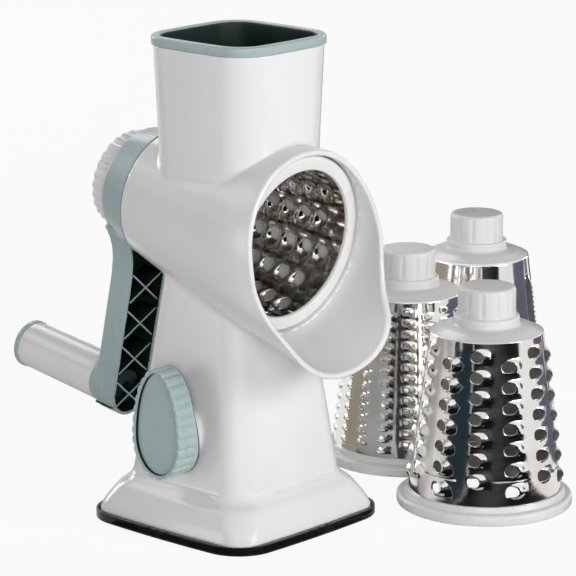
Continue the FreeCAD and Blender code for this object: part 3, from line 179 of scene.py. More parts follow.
@dataclass(frozen=True)
class Net:
    """Meshes the zero level of a distance field on a grid whose steps may differ by place."""

    x: Array
    y: Array
    z: Array
    polish: int = 4
    longest: float = 0.6

    def sample(self, distance: Field) -> Array:
        """The field at every grid point, worked out one layer of equal x at a time."""
        flat = np.stack(np.meshgrid(self.y, self.z, indexing="ij"), axis=-1)
        first = np.ones(flat.shape[:2] + (1,))
        return np.stack([distance(np.concatenate([first * x, flat], axis=-1)).astype(
            np.float32) for x in self.x])

    def crossings(self, value: Array, axis: int) -> tuple[Array, Array, Array]:
        """Grid edges along an axis that the surface crosses.

        A crossing lies at the share a / (a - b) of its edge, from the values at its ends.

        Args:
            value: the field at every grid point.
            axis: 0, 1 or 2.

        Returns:
            Numbers of the edges' lower ends, the crossings, and whether each lower end is
            outside.
        """
        lines = (self.x, self.y, self.z)
        a, b = (value[tuple(span if k == axis else slice(None) for k in range(3))]
                for span in (slice(0, -1), slice(1, None)))
        where = np.argwhere((a < 0.0) != (b < 0.0))
        va, vb = a[tuple(where.T)], b[tuple(where.T)]
        points = np.stack([lines[k][where[:, k]] for k in range(3)], axis=-1)
        step = lines[axis][where[:, axis] + 1] - lines[axis][where[:, axis]]
        points[:, axis] += (va / (va - vb)).astype(float) * step
        return where, points, va > 0.0

    @staticmethod
    def cells_round(number: Array, edges: Array, axis: int) -> list[Array]:
        """Numbers of the four cells round each grid edge, in turn; -1 where there is none."""
        first, second = (k for k in range(3) if k != axis)
        ring = []
        for p, q in ((1, 1), (0, 1), (0, 0), (1, 0)):
            cell = edges.copy()
            cell[:, first] -= p
            cell[:, second] -= q
            good = ((cell >= 0) & (cell < np.array(number.shape))).all(axis=1)
            ring.append(np.full(len(edges), -1, np.int64))
            ring[-1][good] = number[tuple(cell[good].T)]
        return ring

    def mesh(self, distance: Field) -> tuple[Array, Array, Array]:
        """Surface net: one point in each cell that the surface crosses, four round each edge.

        A point starts at the mean of its cell's edge crossings and is then moved along the
        field's slope until the field is zero there.

        Args:
            distance: field that gives one value for each row of points.

        Returns:
            Points, quads and outward normals.
        """
        value = self.sample(distance)
        inside = value < 0.0
        nx, ny, nz = (size - 1 for size in value.shape)
        count = sum(inside[a:nx + a, b:ny + b, c:nz + c].astype(np.int8)
                    for a in (0, 1) for b in (0, 1) for c in (0, 1))
        active = (count > 0) & (count < 8)
        cells = int(active.sum())
        number = np.full(active.shape, -1, np.int64)
        number[active] = np.arange(cells)
        total, hits, quads = np.zeros((cells, 3)), np.zeros(cells), []
        for axis in range(3):
            edges, points, outside = self.crossings(value, axis)
            ring = self.cells_round(number, edges, axis)
            for index in ring:
                known = index >= 0
                for k in range(3):
                    total[:, k] += np.bincount(index[known], points[known, k], cells)
                hits += np.bincount(index[known], minlength=cells)
            faces = np.stack(ring, axis=-1)
            fits = (faces >= 0).all(axis=1)
            faces, turn = faces[fits], outside[fits] ^ (axis == 1)
            faces[turn] = faces[turn][:, ::-1]
            quads.append(faces)
        points = total / np.maximum(hits, 1.0)[:, None]
        for _ in range(self.polish):
            level, slope = self.slope(distance, points)
            move = level[:, None] * slope / np.maximum((slope ** 2).sum(1), 0.05)[:, None]
            length = np.linalg.norm(move, axis=1, keepdims=True)
            points = points - move * np.minimum(1.0, self.longest / np.maximum(length, 1e-9))
        slope = self.slope(distance, points, 0.25)[1]
        normals = slope / np.maximum(np.linalg.norm(slope, axis=1, keepdims=True), 1e-9)
        return points, np.concatenate(quads), normals

    @staticmethod
    def slope(distance: Field, points: Array, reach: float = 0.02) -> tuple[Array, Array]:
        """The field and its slope at points, from its values a little to each side."""
        level = distance(points)
        slope = np.stack([distance(points + step) - distance(points - step)
                          for step in np.eye(3) * reach], axis=-1) / (2.0 * reach)
        return level, slope


# --- grids and profiles ---------------------------------------------------------------------
def grid_quads(rows: int, columns: int, ring: bool = True, flip: bool = False) -> Array:
    """Quads of a grid of points numbered row by row.

    Args:
        rows: number of rows.
        columns: number of points in a row.
        ring: whether each row closes on itself.
        flip: whether the faces look the other way.

    Returns:
        Rows of four point numbers.
    """
    r = np.arange(rows - 1)[:, None] * columns
    c = np.arange(columns if ring else columns - 1)[None, :]
    nxt = (c + 1) % columns
    quads = np.stack([r + c, r + nxt, r + columns + nxt, r + columns + c], axis=-1)
    quads = quads.reshape(-1, 4)
    return quads[:, ::-1] if flip else quads


def rounded(corners: Sequence[Triple], steps: int = 5, closed: bool = False) -> Array:
    """Profile through corners of (across, along, radius), each corner an arc of its radius.

    An arc starts and ends where it touches the two sides, and its points are swept evenly
    by angle between them.

    Args:
        corners: the profile's corners in order.
        steps: points in each arc.
        closed: whether the last corner joins the first.

    Returns:
        Rows of (across, along).
    """
    given = np.array(corners, float)
    points, radii, count = given[:, :2], given[:, 2], len(given)
    made = []
    for i in range(count):
        if radii[i] <= 0.0 or (not closed and i in (0, count - 1)):
            made.append(points[i:i + 1])
            continue
        here = points[i]
        before = points[i - 1] - here
        after = points[(i + 1) % count] - here
        la, lb = np.linalg.norm(before), np.linalg.norm(after)
        ua, ub = before / la, after / lb
        half = math.acos(float(np.clip(ua @ ub, -0.9999, 0.9999))) / 2.0
        radius = min(radii[i], 0.49 * min(la, lb) * math.tan(half))
        middle = (ua + ub) / np.linalg.norm(ua + ub)
        centre = here + middle * radius / math.sin(half)
        start = here + ua * radius / math.tan(half) - centre
        end = here + ub * radius / math.tan(half) - centre
        share = np.linspace(0.0, 1.0, steps)[:, None]
        arc = start * (1.0 - share) + end * share
        made.append(centre + arc * radius / np.linalg.norm(arc, axis=1, keepdims=True))
    return np.concatenate(made)


def spaced(profile: Array, longest: float) -> Array:
    """The profile with points added on its straight runs, none further apart than longest."""
    made = [profile[:1]]
    for a, b in zip(profile[:-1], profile[1:]):
        count = max(int(math.ceil(np.linalg.norm(b - a) / longest)), 1)
        share = (np.arange(1, count + 1) / count)[:, None]
        made.append(a + (b - a) * share)
    return np.concatenate(made)


@dataclass
class Shape:
    """Points and faces gathered for one piece, with a finish number for each face."""

    points: list[Array] = field(default_factory=list)
    quads: list[Array] = field(default_factory=list)
    slots: list[Array] = field(default_factory=list)
    count: int = 0

    def add(self, points: Array, quads: Array, slot: int | Array = 0) -> "Shape":
        """Adds a surface; its face numbers are moved past the points already there."""
        self.points.append(points.reshape(-1, 3))
        self.quads.append(quads + self.count)
        self.slots.append(np.broadcast_to(slot, len(quads)))
        self.count += len(self.points[-1])
        return self

    def add_rows(self, rows: Array, ring: bool = True, flip: bool = False,
                 slot: int | Array = 0) -> "Shape":
        """Adds a grid of points, rows by columns by (x, y, z)."""
        return self.add(rows, grid_quads(*rows.shape[:2], ring, flip), slot)

    def add_turned(self, profile: Array, segments: int = 96, flip: bool = False,
                   cut: Callable[[Array], Array] | None = None) -> "Shape":
        """Adds a profile turned about the upright axis.

        A point at angle t and profile row (r, z) is ((r - c) cos t, (r - c) sin t, z), where
        the cut c may depend on both the row and the angle.

        Args:
            profile: rows of (radius, height).
            segments: points round the axis.
            flip: whether the faces look inwards.
            cut: takes the angles to what comes off the radius, rows by segments.

        Returns:
            The shape itself.
        """
        angle = np.linspace(0.0, 2.0 * math.pi, segments, endpoint=False)
        radius, height = (np.repeat(profile[:, k, None], segments, axis=1) for k in (0, 1))
        if cut is not None:
            radius = np.maximum(radius - cut(angle), 0.0)
        return self.add_rows(np.stack([radius * np.cos(angle), radius * np.sin(angle),
                                       height], axis=-1), flip=flip)

    def moved(self, place: Callable[[Array], Array]) -> "Shape":
        """The shape with every point taken through a change of frame."""
        return Shape([place(p) for p in self.points], self.quads, self.slots, self.count)

    def made(self, name: str, finishes: Sequence["Finish"]) -> bpy.types.Object:
        """Joins points that share a spot, which closes seams and poles, and makes the object."""
        points, quads, slots = map(np.concatenate, (self.points, self.quads, self.slots))
        keys = np.round(points / WELD).astype(np.int64)
        first, back = np.unique(keys, axis=0, return_index=True, return_inverse=True)[1:]
        return as_object(name, points[first], back.reshape(-1)[quads], finishes, slots)

    def piece(self, name: str, finishes: Sequence["Finish"], body: str, slot: str,
              *nodes: str) -> None:
        """Makes the object and settles it on its body."""
        settle(self.made(name, finishes), body, slot, *nodes)


def as_object(name: str, points: Array, quads: Array, finishes: Sequence["Finish"],
              slots: int | Array = 0, normals: Array | None = None) -> bpy.types.Object:
    """Makes a smooth-shaded object with its place in its mesh.

    A quad that names one point twice in a row becomes a triangle, and with fewer than three
    points left it is dropped.

    Args:
        name: the object's name.
        points: rows of (x, y, z) in millimetres.
        quads: rows of four point numbers.
        finishes: the finishes its faces take, by number.
        slots: finish number of each face, or one for all.
        normals: outward normal at each point, worked out from the faces if left out.

    Returns:
        The new object at the origin.
    """
    repeat = quads == np.roll(quads, 1, axis=1)
    sizes = 4 - repeat.sum(axis=1)
    good = sizes >= 3
    loops, sizes = quads[good][~repeat[good]], sizes[good]
    mesh = bpy.data.meshes.new(name)
    mesh.vertices.add(len(points))
    mesh.vertices.foreach_set("co", (points * MM).astype(np.float32).ravel())
    mesh.loops.add(len(loops))
    mesh.polygons.add(len(sizes))
    for owner, key, values in (
            (mesh.loops, "vertex_index", loops),
            (mesh.polygons, "loop_start", np.cumsum(sizes) - sizes),
            (mesh.polygons, "loop_total", sizes),
            (mesh.polygons, "material_index", np.broadcast_to(slots, len(quads))[good])):
        owner.foreach_set(key, values.astype(np.int32))
    mesh.polygons.foreach_set("use_smooth", np.ones(len(sizes), bool))
    mesh.update(calc_edges=True)
    mesh.validate()
    for finish in finishes:
        mesh.materials.append(finish.material())
    if normals is not None and len(mesh.vertices) == len(normals):
        mesh.normals_split_custom_set_from_vertices(normals.tolist())
    made = bpy.data.objects.new(name, mesh)
    bpy.context.scene.collection.objects.link(made)
    return made


def settle(piece: bpy.types.Object, body: str, slot: str, *nodes: str) -> None:
    """Lets a piece ride on its body and hides the nodes it stands for; its finish slot is not
    used.
    """
    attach(piece, body)
    if nodes:
        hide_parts(*nodes)
    LOG.info("%s: %d points, %d faces, on %s", piece.name, len(piece.data.vertices),
             len(piece.data.polygons), body)


def ellipse_path(half: float, above: float, below: float, count: int) -> Array:
    """Egg outline of two half ellipses, its points evenly spaced along it.

    The outline is sampled finely, its running length is added up, and the even places are
    read from that.

    Args:
        half: half width.
        above: height above the widest line.
        below: depth below it.
        count: number of points.

    Returns:
        Rows of (across, up), starting at the right of the widest line.
    """
    t = np.linspace(0.0, 2.0 * math.pi, 4001)
    fine = np.stack([half * np.cos(t), np.where(np.sin(t) >= 0, above, below) * np.sin(t)],
                    axis=-1)
    run = np.concatenate([[0.0], np.cumsum(np.linalg.norm(np.diff(fine, axis=0), axis=1))])
    at = np.linspace(0.0, run[-1], count, endpoint=False)
    return np.stack([np.interp(at, run, fine[:, 0]), np.interp(at, run, fine[:, 1])], axis=-1)


def bowed_outline(half: Array, corner: Array, side_radius: Array, along: Array) -> Array:
    """Bowed squares in the plane, one for each half width, all sampled alike.

    A side is an arc of the side radius and a corner an arc of the corner radius that touches
    both sides. The samples run along half a side, round a corner and along the next half.

    Args:
        half: half widths, one for each row.
        corner: corner radii.
        side_radius: radii of the bowed sides.
        along: shares from 0 at the middle of a side to 1 at its end, evenly or not.

    Returns:
        Rows by points by (x, y), anticlockwise from the middle of the side at +X.
    """
    half, corner, big = (np.asarray(value, float)[:, None] for value in
                         (half, corner, side_radius))
    setback, reach = big - half, big - corner
    centre = (np.sqrt(2.0 * reach ** 2 - setback ** 2) - setback) / 2.0
    lean = np.arctan2(centre, centre + setback)
    side = lean * along[None, :]
    a = np.stack([big * np.cos(side) - setback, big * np.sin(side)], axis=-1)
    turn = lean + (math.pi / 2.0 - 2.0 * lean) * np.linspace(0.0, 1.0, 13)[None, 1:-1]
    b = np.stack([centre + corner * np.cos(turn), centre + corner * np.sin(turn)], axis=-1)
    c = a[:, ::-1, ::-1]
    quarter = np.concatenate([a, b, c], axis=1)[:, :-1]
    turns = [np.array([[math.cos(q), math.sin(q)], [-math.sin(q), math.cos(q)]])
             for q in (0.0, math.pi / 2.0, math.pi, 1.5 * math.pi)]
    return np.concatenate([quarter @ t for t in turns], axis=1)


# --- finishes -------------------------------------------------------------------------------
class Nodes:
    """Short way to put nodes into a tree and link them."""

    def __init__(self, tree: bpy.types.NodeTree) -> None:
        """Works on a tree that is already there."""
        self.tree = tree

    def fill(self, socket: Socket, value: object) -> None:
        """Gives a socket a link where the value is an output, else the value itself."""
        if isinstance(value, bpy.types.NodeSocket):
            self.tree.links.new(value, socket)
        else:
            socket.default_value = value

    def feed(self, node: bpy.types.Node, **sockets: object) -> None:
        """Fills sockets by name, with _ for a space."""
        for key, value in sockets.items():
            self.fill(node.inputs[key.replace("_", " ")], value)

    def add(self, kind: str, **settings: object) -> bpy.types.Node:
        """Adds a node; settings with a leading upper case letter are its sockets."""
        node = self.tree.nodes.new(kind)
        for key, value in settings.items():
            if key[0].islower():
                setattr(node, key, value)
        self.feed(node, **{key: value for key, value in settings.items() if key[0].isupper()})
        return node

    def chain(self, kind: str, *terms: object, **settings: object) -> Socket:
        """First output of a new node whose inputs are filled in order."""
        node = self.add(kind, **settings)
        for socket, term in zip(node.inputs, terms):
            self.fill(socket, term)
        return node.outputs[0]

    def seen(self) -> Socket:
        """One for camera, mirror and clear rays, nought for the rays that light a surface."""
        path = self.add("ShaderNodeLightPath").outputs
        share = path["Is Camera Ray"]
        for ray in ("Is Glossy Ray", "Is Transmission Ray"):
            share = self.chain("ShaderNodeMath", share, path[ray], operation="MAXIMUM")
        return share


class Recipe(Nodes):
    """Nodes of a new material, gathered round one Principled shader."""

    def __init__(self, name: str) -> None:
        """Starts the material with its output and its shader."""
        self.material = bpy.data.materials.new(name)
        self.material.use_nodes = True
        super().__init__(self.material.node_tree)
        self.tree.nodes.clear()
        self.output = self.add("ShaderNodeOutputMaterial")
        self.shader = self.add("ShaderNodeBsdfPrincipled")
        self.show(self.shader.outputs[0])

    def show(self, surface: Socket) -> None:
        """Makes a shader the material's surface."""
        self.fill(self.output.inputs[0], surface)

    def place(self, stretch: Triple = (1.0, 1.0, 1.0), turn: Triple = (0.0, 0.0, 0.0),
              middle: Triple = (0.0, 0.0, 0.0)) -> Socket:
        """Object coordinates, moved to a middle, turned and stretched."""
        where = self.add("ShaderNodeTexCoord").outputs["Object"]
        for key, value in (("Location", middle), ("Rotation", turn), ("Scale", stretch)):
            where = self.add("ShaderNodeMapping", Vector=where, **{key: value}).outputs[0]
        return where

    def noise(self, where: Socket, scale: float, detail: float = 3.0,
              rough: float = 0.5) -> Socket:
        """Noise read at a place, its cells one over the scale in metres."""
        return self.add("ShaderNodeTexNoise", Vector=where, Scale=scale, Detail=detail,
                        Roughness=rough).outputs["Fac"]

    def spread(self, value: Socket, low: float, high: float, start: float = 0.3,
               end: float = 0.7) -> Socket:
        """Takes values between start and end to values between low and high."""
        return self.add("ShaderNodeMapRange", Value=value, From_Min=start, From_Max=end,
                        To_Min=low, To_Max=high).outputs["Result"]

    def tint(self, share: Socket, a: Triple, b: Triple) -> Socket:
        """Colour between two colours by a share."""
        node = self.add("ShaderNodeMix", data_type="RGBA", Factor=share)
        colours = {"A_Color": a, "B_Color": b}
        for socket in node.inputs:
            if socket.identifier in colours:
                socket.default_value = (*colours[socket.identifier], 1.0)
        return next(output for output in node.outputs if output.type == "RGBA")

    def relief(self, height: Socket, depth: float) -> None:
        """Bump of the given depth in metres, on top of the bumps before it."""
        node = self.add("ShaderNodeBump", Strength=1.0, Distance=depth, Height=height)
        normal = self.shader.inputs["Normal"]
        if normal.is_linked:
            self.fill(node.inputs["Normal"], normal.links[0].from_socket)
        self.fill(normal, node.outputs[0])


class Finish:
    """A material that is made once and shared by its pieces."""

    made: dict[str, bpy.types.Material] = {}
    name: str

    def material(self) -> bpy.types.Material:
        """The material, built the first time it is asked for."""
        if self.name not in Finish.made:
            nodes = Recipe(self.name)
            self.build(nodes)
            Finish.made[self.name] = nodes.material
        return Finish.made[self.name]

    def build(self, nodes: Recipe) -> None:
        """Feeds the material's shader."""
        raise NotImplementedError


@dataclass(frozen=True)
class MouldedPlastic(Finish):
    """Glossy moulded plastic: faint flow mottling, fine ripple and slightly uneven gloss."""

    name: str
    colour: Triple
    shade: Triple
    gloss: float = 0.2
    coat: float = 0.15
    ripple: float = 0.00004
    depth: float = 0.0
    depth_scale: float = 0.004
    shine: float = 0.5

    def build(self, nodes: Recipe) -> None:
        """Colour and roughness follow two noises, the relief a wide and a fine one."""
        where = nodes.place()
        cloud = nodes.spread(nodes.noise(where, 28.0, 4.0, 0.55), 0.0, 1.0)
        dull = nodes.noise(where, 60.0, 5.0)
        nodes.feed(nodes.shader, Base_Color=nodes.tint(cloud, self.colour, self.shade),
                   Roughness=nodes.spread(dull, self.gloss * 0.85, self.gloss * 1.2),
                   Specular_IOR_Level=self.shine, Coat_Weight=self.coat, Coat_Roughness=0.08)
        nodes.relief(nodes.noise(where, 75.0, 1.0), self.ripple)
        nodes.relief(nodes.noise(where, 900.0, 2.0), self.ripple * 0.08)
        if self.depth > 0.0:
            nodes.feed(nodes.shader, Subsurface_Weight=self.depth,
                       Subsurface_Radius=(1.0, 1.0, 0.95), Subsurface_Scale=self.depth_scale)


@dataclass(frozen=True)
class PolishedSteel(Finish):
    """Polished sheet: fine drawn lines round the drum, soft waves and a few dull streaks."""

    name: str
    colour: Triple = (0.80, 0.79, 0.775)
    warm: Triple = (0.70, 0.655, 0.60)
    gloss: float = 0.09
    tilted: bool = False

    def build(self, nodes: Recipe) -> None:
        """The drawn lines are noise stretched flat, along the axis of the drum."""
        turn = (-AXIS_TILT - math.pi / 2.0, 0.0, 0.0) if self.tilted else (0.0, 0.0, 0.0)
        middle = (0.0, 0.0, -AXIS_HEIGHT * MM if self.tilted else 0.0)
        where = nodes.place()
        lines = nodes.noise(nodes.place((3.0, 3.0, 90.0), turn, middle), 30.0, 3.0, 0.6)
        cloud = nodes.spread(nodes.noise(where, 45.0, 3.0), 0.0, 1.0, 0.4, 0.75)
        nodes.feed(nodes.shader, Metallic=1.0,
                   Base_Color=nodes.tint(cloud, self.colour, self.warm),
                   Roughness=nodes.spread(lines, self.gloss * 0.7, self.gloss * 1.6))
        nodes.relief(nodes.noise(where, 60.0, 2.0), 0.00025)
        nodes.relief(lines, 0.000006)


@dataclass(frozen=True)
class PlatedSteel(Finish):
    """Small turned or pressed steel parts with fine circular tool marks."""

    name: str
    colour: Triple = (0.62, 0.62, 0.63)
    shade: Triple = (0.496, 0.496, 0.504)
    gloss: float = 0.28

    def build(self, nodes: Recipe) -> None:
        """Cloudy plating over fine grooves."""
        where = nodes.place()
        cloud = nodes.spread(nodes.noise(where, 220.0), 0.0, 1.0)
        nodes.feed(nodes.shader, Metallic=1.0,
                   Base_Color=nodes.tint(cloud, self.colour, self.shade),
                   Roughness=nodes.spread(nodes.noise(where, 500.0), self.gloss * 0.8,
                                          self.gloss * 1.4))
        nodes.relief(nodes.noise(nodes.place((1.0, 1.0, 12.0)), 800.0), 0.00002)


@dataclass(frozen=True)
class GlossyRubber(Finish):
    """Dense black rubber with a moulded sheen, duller where it is dusty."""

    name: str
    colour: Triple = (0.006, 0.006, 0.0065)
    dust: Triple = (0.014, 0.0145, 0.015)
    gloss: float = 0.22

    def build(self, nodes: Recipe) -> None:
        """Dust and dull patches follow a cloudy noise, the skin a fine one."""
        where = nodes.place()
        cloud = nodes.noise(where, 55.0, 5.0, 0.6)
        dusty = nodes.spread(cloud, 0.0, 1.0, 0.5, 0.8)
        nodes.feed(nodes.shader, Base_Color=nodes.tint(dusty, self.colour, self.dust),
                   Roughness=nodes.spread(cloud, self.gloss * 0.8, self.gloss * 1.7), IOR=1.3)
        nodes.relief(nodes.noise(where, 650.0, 3.0), 0.00003)


WHITE = MouldedPlastic("white_abs", (0.82, 0.812, 0.815), (0.80, 0.793, 0.797))
SAGE = MouldedPlastic("sage_plastic", (0.375, 0.475, 0.480), (0.355, 0.450, 0.455),
                      gloss=0.3, coat=0.12, ripple=0.00003)
SAGE_PALE = MouldedPlastic("sage_plastic_knob", (0.400, 0.510, 0.505), (0.380, 0.485, 0.480),
                           gloss=0.28, ripple=0.00003)
# Near-black green for painted shade: inside the pusher's cup, the crank's pocket and rib flanks,
# and the gaps round the knob.
PAINTED_SHADE_GREEN = MouldedPlastic("painted_shade_green", (0.006, 0.018, 0.016), (0.008, 0.024, 0.021),
                            gloss=0.4, coat=0.0, ripple=0.00003, shine=0.25)
MILKY = MouldedPlastic("milky_plastic", (0.78, 0.78, 0.77), (0.75, 0.75, 0.745), gloss=0.3,
                       coat=0.1, depth=0.35)
GREY = MouldedPlastic("grey_plastic", (0.30, 0.31, 0.32), (0.27, 0.28, 0.29), gloss=0.4,
                      coat=0.0)
STEEL = PolishedSteel("polished_steel")
# Fitted drum's steel: base colours darker and warmer than the spares' steel, painted shade
# inside the chamber; the drawn lines follow the tilted axis.
FITTED_STEEL_PAINTED_SHADE = PolishedSteel("polished_steel_fitted_painted_shade", (0.74, 0.725, 0.70), (0.60, 0.54, 0.48),
                             gloss=0.05, tilted=True)
STEEL_DULL = PolishedSteel("dull_steel_inside", (0.72, 0.715, 0.70), (0.66, 0.65, 0.63),
                           gloss=0.55)
FIXING = PlatedSteel("plated_steel")
RUBBER = GlossyRubber("black_rubber")


# --- housing --------------------------------------------------------------------------------
@dataclass
class Housing:
    """White moulding: hopper, tilted drum chamber with its scoop, pedestal and plinth.

    The seat is (radius, rear, front) of the drum's ring, the knob (height, boss radius, boss
    end), the screws (place, boss radius, low, high). Rings are (middle radius, half wall,
    low, high) about their own axis.
    """

    wall: float = 2.8
    chamber_wall: float = 3.5
    hopper_half: float = 42.5
    hopper_draft: float = math.tan(math.radians(2.0))
    hopper_corner: float = 21.0
    hopper_side: float = 450.0
    hopper_centre: float = -3.8
    hopper_top: float = 284.3
    stations: tuple[float, ...] = (-54.7, -20.0, 14.0, 42.0, 58.0, 76.0, 100.0)
    radii: tuple[float, ...] = (40.0, 46.9, 52.3, 56.8, 57.7, 56.8, 55.6)
    drops: tuple[float, ...] = (0.0, 0.0, 0.0, 0.0, 0.9, 5.0, 11.5)
    lip_v: tuple[float, ...] = (-72.0, -64.0, -56.0, -42.0, -28.0, -14.0, 0.0, 14.0, 30.0,
                                46.0, 56.0)
    lip_s: tuple[float, ...] = (97.3, 97.3, 96.4, 90.4, 78.2, 70.6, 66.4, 61.6, 56.6, 52.5,
                                51.2)
    lip_round: float = 1.5
    foot_z: float = 26.5
    foot_half: float = 49.1
    draft: float = math.tan(math.radians(6.9))
    corner: float = 17.0
    side: float = 900.0
    plinth_z: tuple[float, ...] = (5.6, 10.41, 15.42, 22.01, 26.5)
    plinth_half: tuple[float, ...] = (62.9, 61.11, 58.35, 54.07, 49.1)
    plinth_corner: tuple[float, ...] = (14.0, 14.46, 15.16, 16.24, 17.0)
    skirt_z: float = 2.7
    seat: Triple = (53.5, 38.1, 51.0)
    scoop_start: float = 50.1
    knob: Triple = (60.0, 16.4, -48.5)
    hole_radius: float = 35.2
    screws: Ring = (41.0, 4.5, 5.8, 50.0)
    boss_growth: float = 0.2254
    boss: Ring = (36.03, 0.8, -65.5, -51.9)
    sleeve: Ring = (23.55, 1.5, -73.4, -65.5)
    web: Ring = (28.4, 6.4, -65.5, -63.0)
    shaft_tube: Ring = (6.78, 1.72, -48.0, -34.0)

    def chamber(self, p: Array, inset: float) -> Array:
        """Chamber's skin: circles whose radius and sinking centre follow the station."""
        radius = smooth_curve(p[..., 2], self.stations, self.radii) - inset
        drop = smooth_curve(p[..., 2], self.stations, self.drops)
        return np.hypot(p[..., 0], p[..., 1] + drop) - radius

    def beyond_lip(self, p: Array) -> Array:
        """Signed distance past the lip: station minus the lip's curve, over its slope."""
        at = smooth_curve(p[..., 1], self.lip_v, self.lip_s)
        ahead = smooth_curve(p[..., 1] + 0.5, self.lip_v, self.lip_s)
        return (p[..., 2] - at) / np.hypot(1.0, 2.0 * (ahead - at))

    def hopper(self, w: Array, inset: float) -> Array:
        """Hopper's column, narrower downwards."""
        half = self.hopper_half - inset - (self.hopper_top - w[..., 2]) * self.hopper_draft
        return bowed_column(w[..., 0], w[..., 1] - self.hopper_centre, half,
                            self.hopper_corner - inset, self.hopper_side)

    def stand(self, w: Array, inset: float) -> Array:
        """Tapered pedestal on a flared plinth, the inner corner between them filled."""
        z = w[..., 2]
        half = self.foot_half - inset - (z - self.foot_z) * self.draft
        shaft = bowed_column(w[..., 0], w[..., 1], half, self.corner - inset, self.side)
        shaft = np.maximum(shaft, self.foot_z - 6.0 - z)
        wide = smooth_curve(z, self.plinth_z, self.plinth_half)
        slope = (smooth_curve(z + 0.5, self.plinth_z, self.plinth_half) - wide) * 2.0
        flare = bowed_column(w[..., 0], w[..., 1], wide,
                             smooth_curve(z, self.plinth_z, self.plinth_corner),
                             self.side) / np.hypot(1.0, slope) + inset
        return either(shaft, np.maximum(flare, z - self.foot_z), 4.0)

    def distance(self, w: Array) -> Array:
        """The whole moulding: outside joined with blends, then its rooms taken away."""
        p = into_drum(w)
        reach = np.hypot(p[..., 0], p[..., 1])
        z, s = w[..., 2], p[..., 2]
        outer = self.chamber(p, 0.0)
        body = both(outer, self.stations[0] - s, 1.2)
        body = both(body, self.beyond_lip(p), self.lip_round)
        hopper = np.maximum(both(self.hopper(w, 0.0), z - self.hopper_top, 0.6),
                            AXIS_HEIGHT - z)
        stand = np.maximum(self.stand(w, 0.0), z - AXIS_HEIGHT)
        stand = both(stand, self.skirt_z - z, 0.3)
        knob_z, knob_radius, knob_x = self.knob
        across = np.hypot(w[..., 1], z - knob_z)
        boss = tube(knob_radius, knob_x, -30.0, across, w[..., 0], 0.7)
        solid = either(either(body, hopper, 2.0), either(stand, boss, 1.2), 3.5)
        seat_radius, seat_low, seat_high = self.seat
        inner = self.chamber(p, self.chamber_wall)
        room = between(inner, s, self.stations[0] + self.wall, seat_low)
        hole = between(reach - self.hole_radius, s, self.stations[0] - 5.0, seat_low)
        seat = between(reach - seat_radius, s, seat_low, seat_high)
        scoop = np.maximum(inner, self.scoop_start - s)
        cup = np.maximum(self.hopper(w, self.wall), AXIS_HEIGHT - z)
        under = np.maximum(self.stand(w, self.wall), np.maximum(-body, z - AXIS_HEIGHT))
        solid = both(solid, -np.minimum(scoop, seat), self.lip_round)
        rooms = np.minimum(np.minimum(room, hole), np.minimum(cup, under))
        solid = both(solid, -rooms, 0.6)
        return np.minimum(solid, np.minimum(self.bearing(reach, s), self.inside(w, across)))

    def bearing(self, reach: Array, s: Array) -> Array:
        """Hollow boss, web and tube behind the chamber that carry the crank."""
        middle, *rest = self.boss
        cone = hoop(reach, s, middle + (s - self.stations[0]) * self.boss_growth, *rest)
        return np.minimum(np.minimum(cone, hoop(reach, s, *self.web)),
                          hoop(reach, s, *self.sleeve))

    def inside(self, w: Array, across: Array) -> Array:
        """Cam shaft's bearing tube and the four screw bosses in the stand."""
        place, radius, low, high = self.screws
        posts = np.hypot(*(np.abs(w[..., k]) - place for k in (0, 1))) - radius
        posts = np.maximum(between(posts, w[..., 2], low, high), self.stand(w, 1.0))
        return np.minimum(hoop(across, w[..., 0], *self.shaft_tube), posts)

    def build(self) -> None:
        """Meshes the moulding, finer round the mouth and the plinth."""
        net = Net(marks((-65.4, 65.4, 1.25)),
                  marks((-91.2, -24.0, 1.1), (-24.0, 60.0, 1.6), (60.0, 79.0, 1.3)),
                  marks((1.2, 5.6, 1.1), (5.6, 28.0, 1.35), (28.0, 34.0, 2.0),
                        (34.0, 46.0, 4.0), (46.0, 76.0, 1.8), (76.0, 94.0, 4.0),
                        (94.0, 102.0, 1.8), (102.0, 236.0, 1.15), (236.0, 244.0, 1.8),
                        (244.0, 280.0, 4.0), (280.0, 286.0, 0.8)))
        points, quads, normals = net.mesh(self.distance)
        piece = as_object("housing_moulding", points, quads, [WHITE], normals=normals)
        settle(piece, "housing", "white_plastic", "housing")


